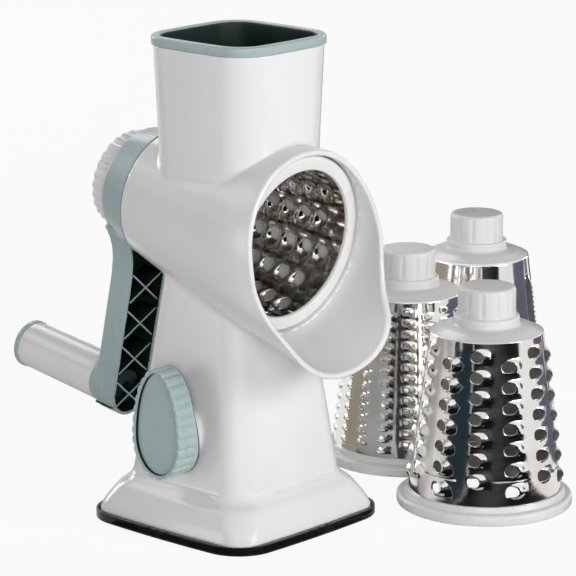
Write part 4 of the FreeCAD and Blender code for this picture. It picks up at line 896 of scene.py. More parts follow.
# --- food pusher ----------------------------------------------------------------------------
@dataclass
class Pusher:
    """Hollow cup with a rim on the hopper and an arched floor over the drum."""

    housing: Housing
    play: float = 0.6
    wall: float = 2.0
    rim_low: float = 284.45
    top: float = 290.0
    tooth_gap: float = 4.5
    shank: float = 262.0
    shank_drop: float = 0.78
    shell_middle: float = 41.23
    shell_growth: float = 0.12422

    def arch(self, x: Array, y: Array, gap: float) -> Array:
        """Height over (x, y) of the cone that stands off the drum's shell by gap.

        The shell's radius is its radius at station nought plus its growth x the station, so
        the height is found by turns: the station from the last height, then the height from
        the circle at that station.
        """
        height = np.full(x.shape, 40.0)
        for _ in range(8):
            s = -TILT_COS * y - TILT_SIN * height
            radius = self.shell_middle + self.shell_growth * s + gap
            up = np.sqrt(np.maximum(radius ** 2 - x ** 2, 4.0))
            height = (up + TILT_SIN * y) / TILT_COS
        return height + AXIS_HEIGHT

    def ring(self, inset: Array, height: Array) -> Array:
        """Outlines of the hopper's section, set in, at the given heights."""
        house = self.housing
        drop = np.maximum(house.hopper_top - height, 0.0) * house.hopper_draft
        share = np.linspace(0.0, 1.0, 15)
        flat = bowed_outline(house.hopper_half - inset - drop,
                             np.maximum(house.hopper_corner - inset, 2.0),
                             np.full(len(inset), house.hopper_side), share)
        z = np.repeat(height[:, None, None], flat.shape[1], axis=1)
        flat = flat + np.array([0.0, house.hopper_centre])
        return np.concatenate([flat, z], axis=-1)

    def build(self) -> None:
        """Shank, rim and cup carried round the outline, closed below by the arched floor."""
        outer = self.housing.wall + self.play
        inner = outer + self.wall
        lip = spaced(rounded([(outer, self.shank, 0.0), (outer, self.rim_low, 0.2),
                              (0.0, self.rim_low, 0.5), (0.0, self.top, 1.6),
                              (inner, self.top, 1.8), (inner, self.shank, 0.0)], 6), 6.0)
        rows = self.ring(lip[:, 0], lip[:, 1])
        skirt = self.fall(rows[0], self.tooth_gap)
        cup = self.fall(rows[-1], self.tooth_gap + self.wall)
        inside = np.argmax(lip[:, 0] > outer + 0.7 * self.wall) + len(skirt)
        rows = np.concatenate([skirt[::-1], rows, cup])
        # Faces from the inner wall on take the near-black green: painted shade inside the hollow
        # cup.
        painted_shade = np.repeat(np.arange(len(rows) - 1) >= inside, rows.shape[1])
        Shape().add_rows(rows, slot=painted_shade).piece("pusher_cup", [SAGE, PAINTED_SHADE_GREEN], "pusher",
                                                "sage_plastic", "food_pusher")

    def fall(self, edge: Array, gap: float) -> Array:
        """Wall from an outline down to the arch, then the floor drawn in to the middle."""
        house = self.housing
        middle = np.array([0.0, house.hopper_centre])
        low = self.arch(edge[:, 0], edge[:, 1], gap)
        drop = np.maximum(house.hopper_top - low, 0.0) * house.hopper_draft
        out = edge[:, :2] - middle
        shrink = 1.0 - (drop - self.shank_drop) / np.linalg.norm(out, axis=1)
        foot = middle + out * shrink[:, None]
        rows = []
        for t in np.linspace(0.0, 1.0, 9):
            flat = middle + (foot - middle) * (1.0 - t) if t else foot
            rows.append(np.column_stack([flat, self.arch(flat[:, 0], flat[:, 1], gap)]))
        down = [edge + (rows[0] - edge) * t for t in (0.25, 0.5, 0.75, 0.94, 1.0)]
        return np.stack(down + rows[1:])


# --- drums ----------------------------------------------------------------------------------
class Cutting(Enum):
    """What the shell of a drum is pierced with."""

    FITTED = "fitted"
    COARSE = "coarse"
    FINE = "fine"
    SLICER = "slicer"


@dataclass(frozen=True)
class Teeth:
    """A field of punched teeth: staggered columns of cells with one hole in each.

    The dome beside a hole is (distance of its middle from the hole's, half length, half
    height, lift), and the turn sets the columns against the hub.
    """

    columns: int
    rows: int
    pitch: float
    first: float
    radius: float
    dome: tuple[float, float, float, float]
    side: int
    rings: tuple[float, ...]
    turn: float = 0.0


@dataclass
class Drum:
    """Conical shell with a moulded rim and a fluted hub; heights above the rim's face.

    The name is also that of the body it rides on.
    """

    name: str
    cutting: Cutting
    place: Callable[[Array], Array]
    steel: PolishedSteel
    inside: PolishedSteel
    rim_radius: float = 52.9
    rim_height: float = 10.5
    rim_flange: float = 7.0
    big: float = 46.0
    small: float = 34.0
    length: float = 96.6
    sheet: float = 0.7
    collar: float = 19.7
    hub: float = 17.3
    hub_top: float = 134.1
    flutes: int = 12
    flute_depth: float = 0.55
    sheet_low: float = 1.6

    TEETH = {
        Cutting.FITTED: Teeth(14, 7, 11.5, 4.8, 3.8, (2.2, 5.7, 4.6, 3.0), 8,
                              (0.0, 0.14, 0.3, 0.48, 0.7, 1.0), math.radians(21.2)),
        Cutting.COARSE: Teeth(12, 7, 12.3, 8.5, 3.9, (2.9, 6.4, 4.5, 2.8), 8,
                              (0.0, 0.14, 0.3, 0.48, 0.7, 1.0)),
        Cutting.FINE: Teeth(18, 13, 6.8, 5.5, 1.75, (1.0, 3.2, 2.3, 1.7), 4,
                            (0.0, 0.22, 0.5, 1.0)),
    }

    def shell_radius(self, height: Array) -> Array:
        """Radius of the sheet's outside at a height."""
        return self.big - (self.big - self.small) / self.length * (height - self.rim_height)

    def wrapped(self, across: Array, height: Array, turn: Array,
                lift: Array | float = 0.0) -> Array:
        """Points of the sheet: across is an arc length at the sheet's own radius."""
        across, height, turn, lift = np.broadcast_arrays(across, height, turn, lift)
        radius = self.shell_radius(height)
        angle = turn + across / radius
        return np.stack([(radius + lift) * np.cos(angle), (radius + lift) * np.sin(angle),
                         height], axis=-1)

    def toothed(self) -> Shape:
        """Shell made of cells, each a fan of rings from its hole out to its border.

        In a cell, ring t runs between the hole's edge (t = 0) and the border (t = 1), along
        straight lines. The sheet is lifted by the dome's lift x (1 - q) ^ 0.8, where q is the
        squared distance from the dome's middle over its half length and half height: a scoop
        that is highest at the hole's far edge and opens over the hole.
        """
        teeth = self.TEETH[self.cutting]
        count, cell = 4 * teeth.side, 2.0 * math.pi / teeth.columns
        side, step = np.divmod(np.arange(count), teeth.side)
        step = step / teeth.side
        flat = 0.5 + 0.0 * step
        bx = np.choose(side, [flat, 0.5 - step, -flat, step - 0.5])
        by = np.choose(side, [step - 0.5, flat, 0.5 - step, -flat])
        angle = np.arctan2(by, bx * 1.02)
        base = self.rim_height + teeth.first - teeth.pitch / 2.0
        column, row = np.meshgrid(np.arange(teeth.columns), np.arange(teeth.rows),
                                  indexing="ij")
        middle = (base + teeth.pitch * (row + 0.5 + 0.5 * (column % 2)))[..., None, None]
        t = np.array(teeth.rings)[:, None]
        border = middle + by * teeth.pitch
        across = (teeth.radius * np.cos(angle) * (1 - t)
                  + bx * cell * self.shell_radius(border) * t)
        height = middle + teeth.radius * 0.92 * np.sin(angle) * (1 - t) + (border - middle) * t
        shift, long, tall, rise = teeth.dome
        q = ((across - shift) / long) ** 2 + ((height - middle) / tall) ** 2
        lift = rise * np.maximum(1.0 - q, 0.0) ** 0.8 * (t < 0.999)
        turn = (column * cell)[..., None, None] + teeth.turn
        points = self.wrapped(across, height, turn, lift)
        shape = Shape()
        for patch in points.reshape(-1, *points.shape[2:]):
            shape.add_rows(patch, flip=True)
        self.add_bands(shape, teeth, base)
        return shape

    def add_bands(self, shape: Shape, teeth: Teeth, base: float) -> None:
        """Plain sheet above and below the teeth, on the same lattice of heights."""
        low, high = self.sheet_low, self.rim_height + self.length
        cell = 2.0 * math.pi / teeth.columns
        unit = teeth.pitch / teeth.side
        share = np.linspace(-0.5, 0.5, teeth.side + 1)
        for column in range(teeth.columns):
            start = base + 0.5 * teeth.pitch * (column % 2)
            end = start + teeth.pitch * teeth.rows
            below = base - unit * np.arange(int((base - low) / unit) + 1)[::-1]
            below = np.concatenate([[low], below[below > low + 0.2 * unit],
                                    np.arange(base + unit, start + unit / 2.0, unit)])
            top = base + teeth.pitch * (teeth.rows + 0.5)
            above = top + unit * np.arange(int((high - top) / unit) + 1)
            above = np.concatenate([np.arange(end, top - unit / 2.0, unit),
                                    above[above < high - 0.2 * unit], [high]])
            for heights in (below, above):
                if len(heights) > 1:
                    h = heights[:, None]
                    shape.add_rows(self.wrapped(share * cell * self.shell_radius(h), h,
                                                column * cell + teeth.turn), ring=False)

    def slotted(self) -> Shape:
        """Shell with five long slots, one edge of each raised as a blade.

        The lift at an arc distance d past the slot's edge is the blade's lift x (1 - d / its
        reach) ^ 2, faded to nothing at the slot's ends; every other blade's edge is a saw of
        small teeth.
        """
        slots, width, low, long = 5, 5.0, 17.5, 78.0
        rise, reach, last, margin, fade, tooth = 2.4, 9.0, 100.0, 4.0, 7.0, 3.2
        high, top = low + long, self.rim_height + self.length
        heights = np.concatenate([np.linspace(self.sheet_low, low - margin, 8)[:-1],
                                  np.linspace(low - margin, high + margin, 118),
                                  np.linspace(high + margin, top, 5)[1:]])
        cell, half = 2.0 * math.pi / slots, width / 2.0
        near = np.concatenate([[0.0, 0.35, 0.9, 1.8, 3.0, 4.6, 6.6, reach],
                               np.linspace(11.5, last, 18)])
        h = heights[:, None]
        span = cell * self.shell_radius(h) - width
        far = reach + (near - reach) / (last - reach) * (span - reach)
        d = np.where(near > reach, far, near)
        window = np.clip(np.minimum(h - low, high - h) / fade, 0.0, 1.0)
        window = window * window * (3.0 - 2.0 * window)
        lift = rise * (1.0 - np.clip(d / reach, 0.0, 1.0)) ** 2 * window
        shape = Shape()
        for k in range(slots):
            saw = 0.15 if k % 2 else np.abs(((h / tooth) % 1.0) * 2.0 - 1.0)
            bite = np.where(d < 0.3, (saw - 0.5) * 1.3 * window - 0.8 * window, 0.0)
            shape.add_rows(self.wrapped(half + d + bite, h, k * cell, lift), ring=False)
            for part in (heights <= low + 0.01, heights >= high - 0.01):
                shape.add_rows(self.wrapped(np.linspace(-half, half, 7), h[part], k * cell),
                               ring=False)
        return shape

    def build_shell(self) -> None:
        """The pierced sheet, given its thickness inwards."""
        shape = self.slotted() if self.cutting is Cutting.SLICER else self.toothed()
        piece = shape.moved(self.place).made(self.name + "_sheet", [self.steel, self.inside])
        solid = piece.modifiers.new("thickness", "SOLIDIFY")
        solid.material_offset = 1
        solid.thickness = self.sheet * MM
        solid.offset = -1.0
        solid.use_even_offset = False
        settle(piece, self.name, "polished_steel", self.name + "_shell")

    def build_rim(self) -> None:
        """Moulded ring round the big end, all its edges rounded."""
        outer, flange, top, bed = self.rim_radius, self.rim_flange, self.rim_height, 2.6
        profile = rounded([(44.7, 0.0, 0.8), (outer, 0.0, 2.2), (outer, flange, 2.2),
                           (48.6, flange, 0.8), (47.6, top, 0.7), (45.9, top, 0.0),
                           (46.6, bed, 0.0), (44.1, bed, 0.7)], 6, closed=True)
        shape = Shape().add_turned(np.concatenate([profile, profile[:1]]), 128)
        shape.moved(self.place).piece(self.name + "_ring", [MILKY], self.name,
                                      "milky_plastic", self.name + "_rim")

    def build_hub(self) -> None:
        """Dome, collar and fluted hub, hollow from inside the drum."""
        low, top, bore = self.rim_height + self.length, self.hub_top, 13.7
        base, roof, spigot = low + 4.2, top - 2.6, low - 3.0
        shoulder, plug = base + 5.4, self.small - self.sheet - 0.1
        profile = spaced(rounded([
            (0.0, top, 0.0), (self.hub, top, 2.2), (self.hub, shoulder, 0.5),
            (self.collar, shoulder, 1.0), (self.collar, base, 1.6), (27.0, base - 1.2, 12.0),
            (self.small + 0.05, low, 0.3), (plug, low - 0.4, 0.0), (plug, spigot, 0.4),
            (bore, spigot, 0.4), (bore, roof, 1.0), (0.0, roof, 0.0)], 6), 3.0)
        radius, along = profile.T
        band = np.clip((along - base - 5.6) / 0.8, 0.0, 1.0) * np.clip(
            (top - 1.0 - along) / 2.0, 0.0, 1.0) * (radius > 15.0)

        def flutes(angle: Array) -> Array:
            """Rounded grooves that fade out at the hub's shoulder and top."""
            wave = np.clip(np.cos(self.flutes * angle) * 1.3 - 0.3, 0.0, 1.0) ** 1.5
            return self.flute_depth * band[:, None] * wave

        shape = Shape().add_turned(profile, self.flutes * 16, flip=True, cut=flutes)
        shape.moved(self.place).piece(self.name + "_end", [MILKY], self.name,
                                      "milky_plastic", self.name + "_hub")

    def build(self) -> None:
        """Makes the drum's three pieces."""
        self.build_shell()
        self.build_rim()
        self.build_hub()


def fitted_place(points: Array) -> Array:
    """Puts a drum into the chamber: big end forwards, its rim's face at its station."""
    turned = np.stack([points[..., 0], -points[..., 1], RIM_STATION - points[..., 2]], axis=-1)
    return from_drum(turned)


def floor_place(x: float, y: float) -> Callable[[Array], Array]:
    """Stands a drum on the floor at (x, y), big end down."""
    return lambda points: points + np.array([x, y, 0.0])


# --- crank ----------------------------------------------------------------------------------
@dataclass
class Crank:
    """Hollow round head, ribbed arm and the collar that carries the grip.

    Rings are (middle radius, half wall, rear, front), bars (radius, rear, front).
    """

    lean: float = math.radians(4.2)
    length: float = 128.1
    grip_distance: float = 125.5
    waist: float = 15.7
    end: float = 14.6
    blend: float = 41.0
    front: float = -60.0
    rear: float = -77.4
    head_front: float = -55.5
    head_rear: float = -76.8
    head_radii: tuple[float, float] = (39.5, 34.7)
    wall: float = 2.0
    floor: float = 2.4
    head_wall: float = 2.2
    pocket_start: float = 39.6
    bore: float = 17.35
    bore_end: float = -84.0
    spindle_hole: float = 3.05
    collar: Triple = (15.0, -81.4, -70.0)
    boss: Triple = (10.5, -76.4, -64.0)
    spigot: Ring = (19.7, 2.3, -77.0, -68.1)
    collet: Ring = (19.0, 1.6, -83.0, -76.0)

    @property
    def grip(self) -> tuple[float, float]:
        """Place of the grip's axis in the drum's frame, (x, v)."""
        return (-self.grip_distance * math.sin(self.lean),
                -self.grip_distance * math.cos(self.lean))

    def outline(self, x: Array, v: Array) -> Array:
        """Distance to the arm's outline: a tapered bar with a round end and hollow flanks.

        The flanks are circles of the blend radius that touch both the head and the bar.
        """
        along = -x * math.sin(self.lean) - v * math.cos(self.lean)
        across = np.abs(x * math.cos(self.lean) - v * math.sin(self.lean))
        half = self.waist + (self.end - self.waist) * np.clip(along / self.length, 0.0, 1.0)
        bar = np.where(along < self.length, np.maximum(across - half, -along),
                       np.hypot(along - self.length, across) - self.end)
        head = sum(self.head_radii) / 2.0
        side = self.waist + self.blend
        down = math.sqrt((head + self.blend) ** 2 - side ** 2)
        flank = self.blend - np.hypot(along - down, across - side)
        flank = np.maximum(flank, np.maximum(along - down, -along))
        flank = np.maximum(flank, across * down - along * side)
        return np.minimum(bar, flank)

    def cone(self, reach: Array, s: Array, inset: float) -> Array:
        """Distance to the head's tapered skin."""
        slope = (self.head_radii[0] - self.head_radii[1]) / (self.head_front - self.head_rear)
        radius = self.head_radii[0] - inset - slope * (self.head_front - s)
        return (reach - radius) / math.hypot(1.0, slope)

    def distance(self, p: Array) -> Array:
        """The whole crank in the drum's frame."""
        x, v, s = p[..., 0], p[..., 1], p[..., 2]
        reach = np.hypot(x, v)
        head = both(self.cone(reach, s, 0.0), self.head_rear - s, 2.6)
        head = both(head, s - self.head_front, 0.5)
        flat = self.outline(x, v)
        arm = both(flat, self.rear - s, 2.6)
        arm = both(arm, s - self.front, 0.55)
        gx, gv = self.grip
        at_grip = np.hypot(x - gx, v - gv)
        collar = tube(*self.collar, at_grip, s, 0.9)
        body = either(either(head, arm, 1.2), collar, 0.8)
        cavity = np.maximum(self.cone(reach, s, self.head_wall),
                            self.head_rear + self.head_wall - s)
        pocket = np.maximum(flat + self.wall, self.rear + self.floor - s)
        pocket = np.maximum(pocket, self.pocket_start - reach)
        body = both(body, -cavity, 0.45)
        body = both(body, -pocket, 0.45)
        boss = both(tube(*self.boss, at_grip, s, 0.5), self.spindle_hole - at_grip, 0.3)
        inner = np.minimum(hoop(reach, s, *self.spigot), hoop(reach, s, *self.collet))
        body = np.minimum(np.minimum(body, boss), inner)
        return np.maximum(body, np.maximum(self.bore - reach, self.bore_end - s))

    def ribs(self) -> Shape:
        """Crossed ribs of the pocket: a rounded bar section carried along each rib.

        The ribs' tops take the arm's finish, their flanks and bottoms the near-black green of
        the pocket's painted shade.
        """
        shape = Shape()
        half, top, low = 0.55, self.front - 0.5, self.rear + 1.2
        section = rounded([(-half, low, 0.0), (half, low, 0.0), (half, top, 0.35),
                           (-half, top, 0.35)], 4, closed=True)
        edge = np.arange(len(section))
        # Section edges on each rib's flanks and bottom take the near-black green: painted shade
        # in the pocket.
        painted_shade = (edge < 2) | (edge == len(section) - 1)
        first, step, cells = 50.0, 22.7, 4
        share = np.linspace(0.0, 1.0, 9)
        for cell in range(cells):
            for side in (-1.0, 1.0):
                start, end = first + step * cell, first + step + step * cell
                along = start + (end - start) * share
                across = side * self.waist * (1.0 - 2.0 * share)
                keep = (np.abs(across) <= self.waist - 1.2) & (np.hypot(along, across) > 39.0)
                if cell == cells - 1:
                    keep &= np.hypot(along - self.grip_distance, across) > 10.0
                along, across = along[keep, None], across[keep, None]
                if len(along) < 2:
                    continue
                run = np.array([end - start, -2.0 * side * self.waist])
                run = run / np.linalg.norm(run)
                a, c = along - section[:, 0] * run[1], across + section[:, 0] * run[0]
                rows = np.stack([-a * math.sin(self.lean) + c * math.cos(self.lean),
                                 -a * math.cos(self.lean) - c * math.sin(self.lean),
                                 np.broadcast_to(section[:, 1], a.shape)], axis=-1)
                tips = [np.broadcast_to(rows[i].mean(0), rows[:1].shape) for i in (0, -1)]
                rows = np.concatenate([tips[0], rows, tips[1]])
                shape.add_rows(rows, flip=side > 0, slot=np.tile(painted_shade, len(rows) - 1))
        return shape

    def build(self) -> None:
        """Meshes the arm and its ribs; the pocket's walls and floor are near-black green,
        painted shade in the pocket.
        """
        net = Net(marks((-42.0, 42.0, 0.95)), marks((-145.6, 42.0, 0.95)),
                  marks((-85.0, -54.0, 0.85)))
        points, quads, normals = net.mesh(self.distance)
        x, v, s = points[quads].mean(axis=1).T
        # Faces inside the pocket take the near-black green: painted shade in the pocket.
        painted_shade = self.outline(x, v) < -self.wall * 0.75
        painted_shade &= (s < self.front - 0.35) & (s > self.rear + 0.5) & (np.hypot(x, v) > 38.0)
        piece = as_object("crank_moulding", from_drum(points), quads, [SAGE, PAINTED_SHADE_GREEN],
                          painted_shade, from_drum(normals) - from_drum(0.0 * normals))
        settle(piece, "crank", "sage_plastic", "crank_arm")
        self.ribs().moved(from_drum).piece("crank_ribs", [SAGE, PAINTED_SHADE_GREEN], "crank",
                                           "sage_plastic")


@dataclass
class LockNut:
    """White cap nut behind the crank's head with a waved edge."""

    radius: float = 29.6
    rear: float = -90.0
    front: float = -77.7
    bore: float = 20.65
    floor: float = -86.0
    waves: int = 28
    wave_depth: float = 1.0

    def build(self) -> None:
        """Turns the nut's section; the wave is cut from the skirt and fades at the face."""
        profile = spaced(rounded([
            (0.0, self.rear, 0.0), (self.radius, self.rear, 1.6),
            (self.radius, self.front, 0.6), (self.bore, self.front, 0.3),
            (self.bore, self.floor, 0.4), (0.0, self.floor, 0.0)], 6), 2.5)
        skirt = self.wave_depth * np.clip((profile[:, :1] - 24.0) / 3.0, 0.0, 1.0)
        shape = Shape().add_turned(profile, self.waves * 10, cut=lambda angle: skirt * (
            (1.0 - np.cos(self.waves * angle)) / 2.0) ** 1.5)
        shape.moved(from_drum).piece("nut_moulding", [WHITE], "nut", "white_plastic",
                                     "lock_nut")


@dataclass
class Grip:
    """White sleeve that turns on its spindle, closed by a sage cap."""

    crank: Crank
    radius: float = 14.7
    end_radius: float = 14.2
    front: float = -81.7
    rear: float = -145.0
    cap: float = 14.8
    cap_end: float = -149.0

    def at_grip(self, points: Array) -> Array:
        """Moves a piece from the drum's axis to the end of the arm."""
        gx, gv = self.crank.grip
        return from_drum(points + np.array([gx, gv, 0.0]))

    def build(self) -> None:
        """Turns the sleeve with its two webs, and the cap with its plug."""
        inner, bore, web, step = 11.8, 4.05, -138.9, 6.0
        profile = rounded([(inner, self.rear, 0.2), (self.end_radius, self.rear, 0.4),
                           (self.radius, self.front, 0.7), (bore, self.front, 0.2),
                           (bore, self.front - step, 0.2), (inner, self.front - step, 0.4),
                           (inner, web + step, 0.3), (bore, web + step, 0.2),
                           (bore, web, 0.2), (inner, web, 0.3)], 5, closed=True)
        sleeve = spaced(np.concatenate([profile, profile[:1]]), 5.0)
        low, high, plug = self.rear + 0.05, self.rear + 2.5, 11.75
        cap = spaced(rounded([(0.0, self.cap_end, 0.0), (self.cap, self.cap_end, 1.7),
                              (self.cap, low, 0.5), (plug, low, 0.2), (plug, high, 0.3),
                              (0.0, high, 0.0)], 6), 3.0)
        for name, turned, finish, slot, node in (
                ("grip_tube", sleeve, WHITE, "white_plastic", "grip_sleeve"),
                ("grip_cap", cap, SAGE, "sage_plastic", "grip_end_cap")):
            Shape().add_turned(turned).moved(self.at_grip).piece(name, [finish], "grip", slot,
                                                                 node)


# --- suction knob ---------------------------------------------------------------------------
@dataclass
class Knob:
    """Egg-shaped knob with a fluted side, a raised rim and a face plate set into it."""

    z: float = 60.0
    half: float = 19.4
    above: float = 42.4
    below: float = 24.0
    face: float = -68.0
    back: float = -48.8
    heel: float = 4.9
    rim: float = 2.6
    recess: float = 2.6
    floor: float = -61.6
    crown: float = 0.25
    flutes: int = 26
    count: int = 26 * 14
    groove_end: float = -53.4
    groove_depth: float = 1.35
    hub: float = 9.0
    hub_bore: float = 4.95
    hub_length: float = 12.8
    face_play: float = 0.06

    def rows(self, profile: Array, flute: Array | None = None) -> Array:
        """Carries a profile of (inset, x) round the egg.

        The outline at an inset is two half ellipses smaller by it; a point at share u of the
        outline and profile row (i, x) lies at that outline's point, x along the axis. A
        station behind the face that reaches the back is drawn forward there by the heel.

        Args:
            profile: rows of (inset, x).
            flute: extra inset of each row in the flutes, or None.

        Returns:
            Rows by points by (x, y, z).
        """
        u = np.arange(self.count) / self.count
        wave = (1.0 - np.abs(np.sin(math.pi * self.flutes * u))) ** 1.5
        base = ellipse_path(self.half, self.above, self.below, self.count)
        ahead = np.roll(base, -1, axis=0) - np.roll(base, 1, axis=0)
        normal = np.stack([ahead[:, 1], -ahead[:, 0]], axis=-1)
        normal = normal / np.linalg.norm(normal, axis=1, keepdims=True)
        inset = np.repeat(profile[:, :1], self.count, axis=1)
        if flute is not None:
            inset = inset + flute[:, None] * wave[None, :]
        flat = base[None] - normal[None] * inset[..., None]
        slope = np.clip((flat[..., 1] + 17.0) / 35.0, 0.0, 1.0) * self.heel
        depth = (profile[:, 1] - self.face) / (self.back - self.face)
        x = profile[:, 1][:, None] - slope * np.clip(depth * 2.5 - 1.5, 0.0, 1.0)[:, None]
        return np.concatenate([x[..., None], flat + np.array([0.0, self.z])], axis=-1)

    def build(self) -> None:
        """Skin and rim, the hollow back with its hub, and the separate face plate.

        The grooves cut the front edge and stop short of the back; the wall round the face
        plate and the back edge are near-black green, painted shade in the gap round the plate
        and behind the knob.
        """
        back_of_face = self.face + self.recess + 1.2
        outer = spaced(rounded([(self.rim, self.back, 0.3), (0.0, self.back, 0.8),
                                (0.0, self.face, 1.2), (self.rim, self.face, 1.1),
                                (self.rim, back_of_face, 0.0)], 6), 0.9)
        inset, x = outer.T
        groove = np.clip((self.groove_end - x) / 0.5, 0.0, 1.0) * np.clip(
            (1.9 - inset) / 1.5, 0.0, 1.0)
        # Rim's inner wall round the face plate and the knob's back edge: painted shade in
        # near-black green.
        painted_shade = (inset > self.rim - 0.01) & (x > self.face + 0.6) | (x > self.back - 1.5)
        rows = self.rows(outer, self.groove_depth * groove)
        shape = Shape().add_rows(rows, flip=True, slot=np.repeat(painted_shade[:-1], self.count))
        shape.add_rows(self.fan(rows[-1], back_of_face, (0.0, 0.5, 1.0)), flip=True)
        room = self.rows(spaced(np.array([(self.rim, self.floor), (self.rim, self.back)]),
                                2.0))
        shape.add_rows(room, flip=True)
        shape.add_rows(self.fan(room[0], self.floor, (1.0, 0.5, 0.0)), flip=True)
        hub = Shape().add_turned(rounded([
            (self.hub, 0.0, 0.0), (self.hub, self.hub_length, 0.5),
            (self.hub_bore, self.hub_length, 0.2), (self.hub_bore, 0.5, 0.0)], 4), 64)
        for points, quads in zip(hub.points, hub.quads):
            across, up, along = points.T
            shape.add(np.column_stack([self.floor + along, up, self.z - across]), quads)
        shape.piece("knob_moulding", [SAGE_PALE, PAINTED_SHADE_GREEN], "knob", "sage_plastic",
                    "suction_knob")
        top, inset = self.face + self.recess, self.rim + self.face_play
        rim = self.rows(rounded([(inset, back_of_face, 0.0), (inset, top, 0.5),
                                 (self.rim + 1.4, top, 0.0)], 5))
        crown = [self.fan(rim[-1], top - self.crown * t, (t,)) for t in (0.25, 0.5, 0.75, 1.0)]
        under = self.fan(rim[0], back_of_face, (1.0,))
        cover = Shape().add_rows(np.concatenate([under, rim, *crown]))
        cover.piece("knob_face", [SAGE], "knob", "sage_plastic", "knob_cover")

    def fan(self, edge: Array, x: float, shares: Sequence[float]) -> Array:
        """Rows drawn in from an edge to the knob's middle at x, by each share."""
        middle = np.array([x, 0.0, self.z])
        return np.stack([edge * (1.0 - share) + middle * share for share in shares])


# --- rubber foot ----------------------------------------------------------------------------
@dataclass
class Foot:
    """Rubber foot: a band with small dents round the plinth, closed below."""

    half: float = 67.2
    corner: float = 25.0
    side: float = 800.0
    height: float = 5.2
    seat: float = 2.4
    skirt_half: float = 63.2
    skirt_corner: float = 14.3
    skirt_side: float = 900.0
    dents: int = 3
    pitch: float = 7.0
    dent: float = 1.3

    def build(self) -> None:
        """Carries the band's section round the foot; its dents are half rounds in the edge."""
        share = np.concatenate([np.linspace(0.0, 0.32, 42), np.linspace(0.32, 1.0, 9)[1:]])
        outer = rounded([(0.0, 0.0, 0.0), (1.0, 0.0, 1.1), (1.0, self.height, 1.4),
                         (0.0, self.height, 0.0)], 7)
        inset = outer[:, 0] - 1.0
        half = np.concatenate([[0.001], self.half + inset, [self.skirt_half] * 3, [0.001]])
        corner = np.concatenate([[0.0004], self.corner + inset, [self.skirt_corner] * 3,
                                 [0.0004]])
        side = np.where(np.arange(len(half)) <= len(inset), self.side, self.skirt_side)
        height = np.concatenate([[0.0], outer[:, 1], [self.height - 0.25, self.seat + 0.3,
                                                      self.seat, self.seat]])
        flat = bowed_outline(half, corner, side, share)
        x, y = flat[..., 0], flat[..., 1]
        on_x = np.abs(x) > np.abs(y)
        offsets = (np.arange(self.dents) - (self.dents - 1) / 2.0) * self.pitch
        bite = sum(np.sqrt(np.clip(1.0 - ((np.where(on_x, y, x) - offset) / self.dent) ** 2,
                                   0.0, 1.0)) for offset in offsets) * self.dent
        upper = np.clip((height - 2.0) / 1.2, 0.0, 1.0) * (half > self.half - 2.0)
        pull = 1.0 - bite * upper[:, None] / self.half
        rows = np.stack([x * np.where(on_x, pull, 1.0), y * np.where(on_x, 1.0, pull),
                         np.broadcast_to(height[:, None], x.shape)], axis=-1)
        Shape().add_rows(rows).piece("foot_band", [RUBBER], "housing", "black_rubber",
                                     "suction_pad")


# --- inner works and studio -----------------------------------------------------------------
@dataclass(frozen=True)
class InnerWorks:
    """Parts that keep their shape from the frame and only take a finish."""

    dressed: tuple[tuple[str, Finish], ...] = (
        ("base_frame", GREY), ("lift_yoke", GREY), ("pad_insert", GREY), ("cam_shaft", GREY),
        ("base_screws", FIXING), ("knob_screw", FIXING), ("shaft_clip", FIXING),
        ("yoke_screw", FIXING), ("grip_spindle", FIXING))

    def build(self) -> None:
        """Gives each of them its material."""
        for name, finish in self.dressed:
            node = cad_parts[name]
            node.data.materials.clear()
            node.data.materials.append(finish.material())
            LOG.info("%s keeps its shape and takes %s", name, finish.name)


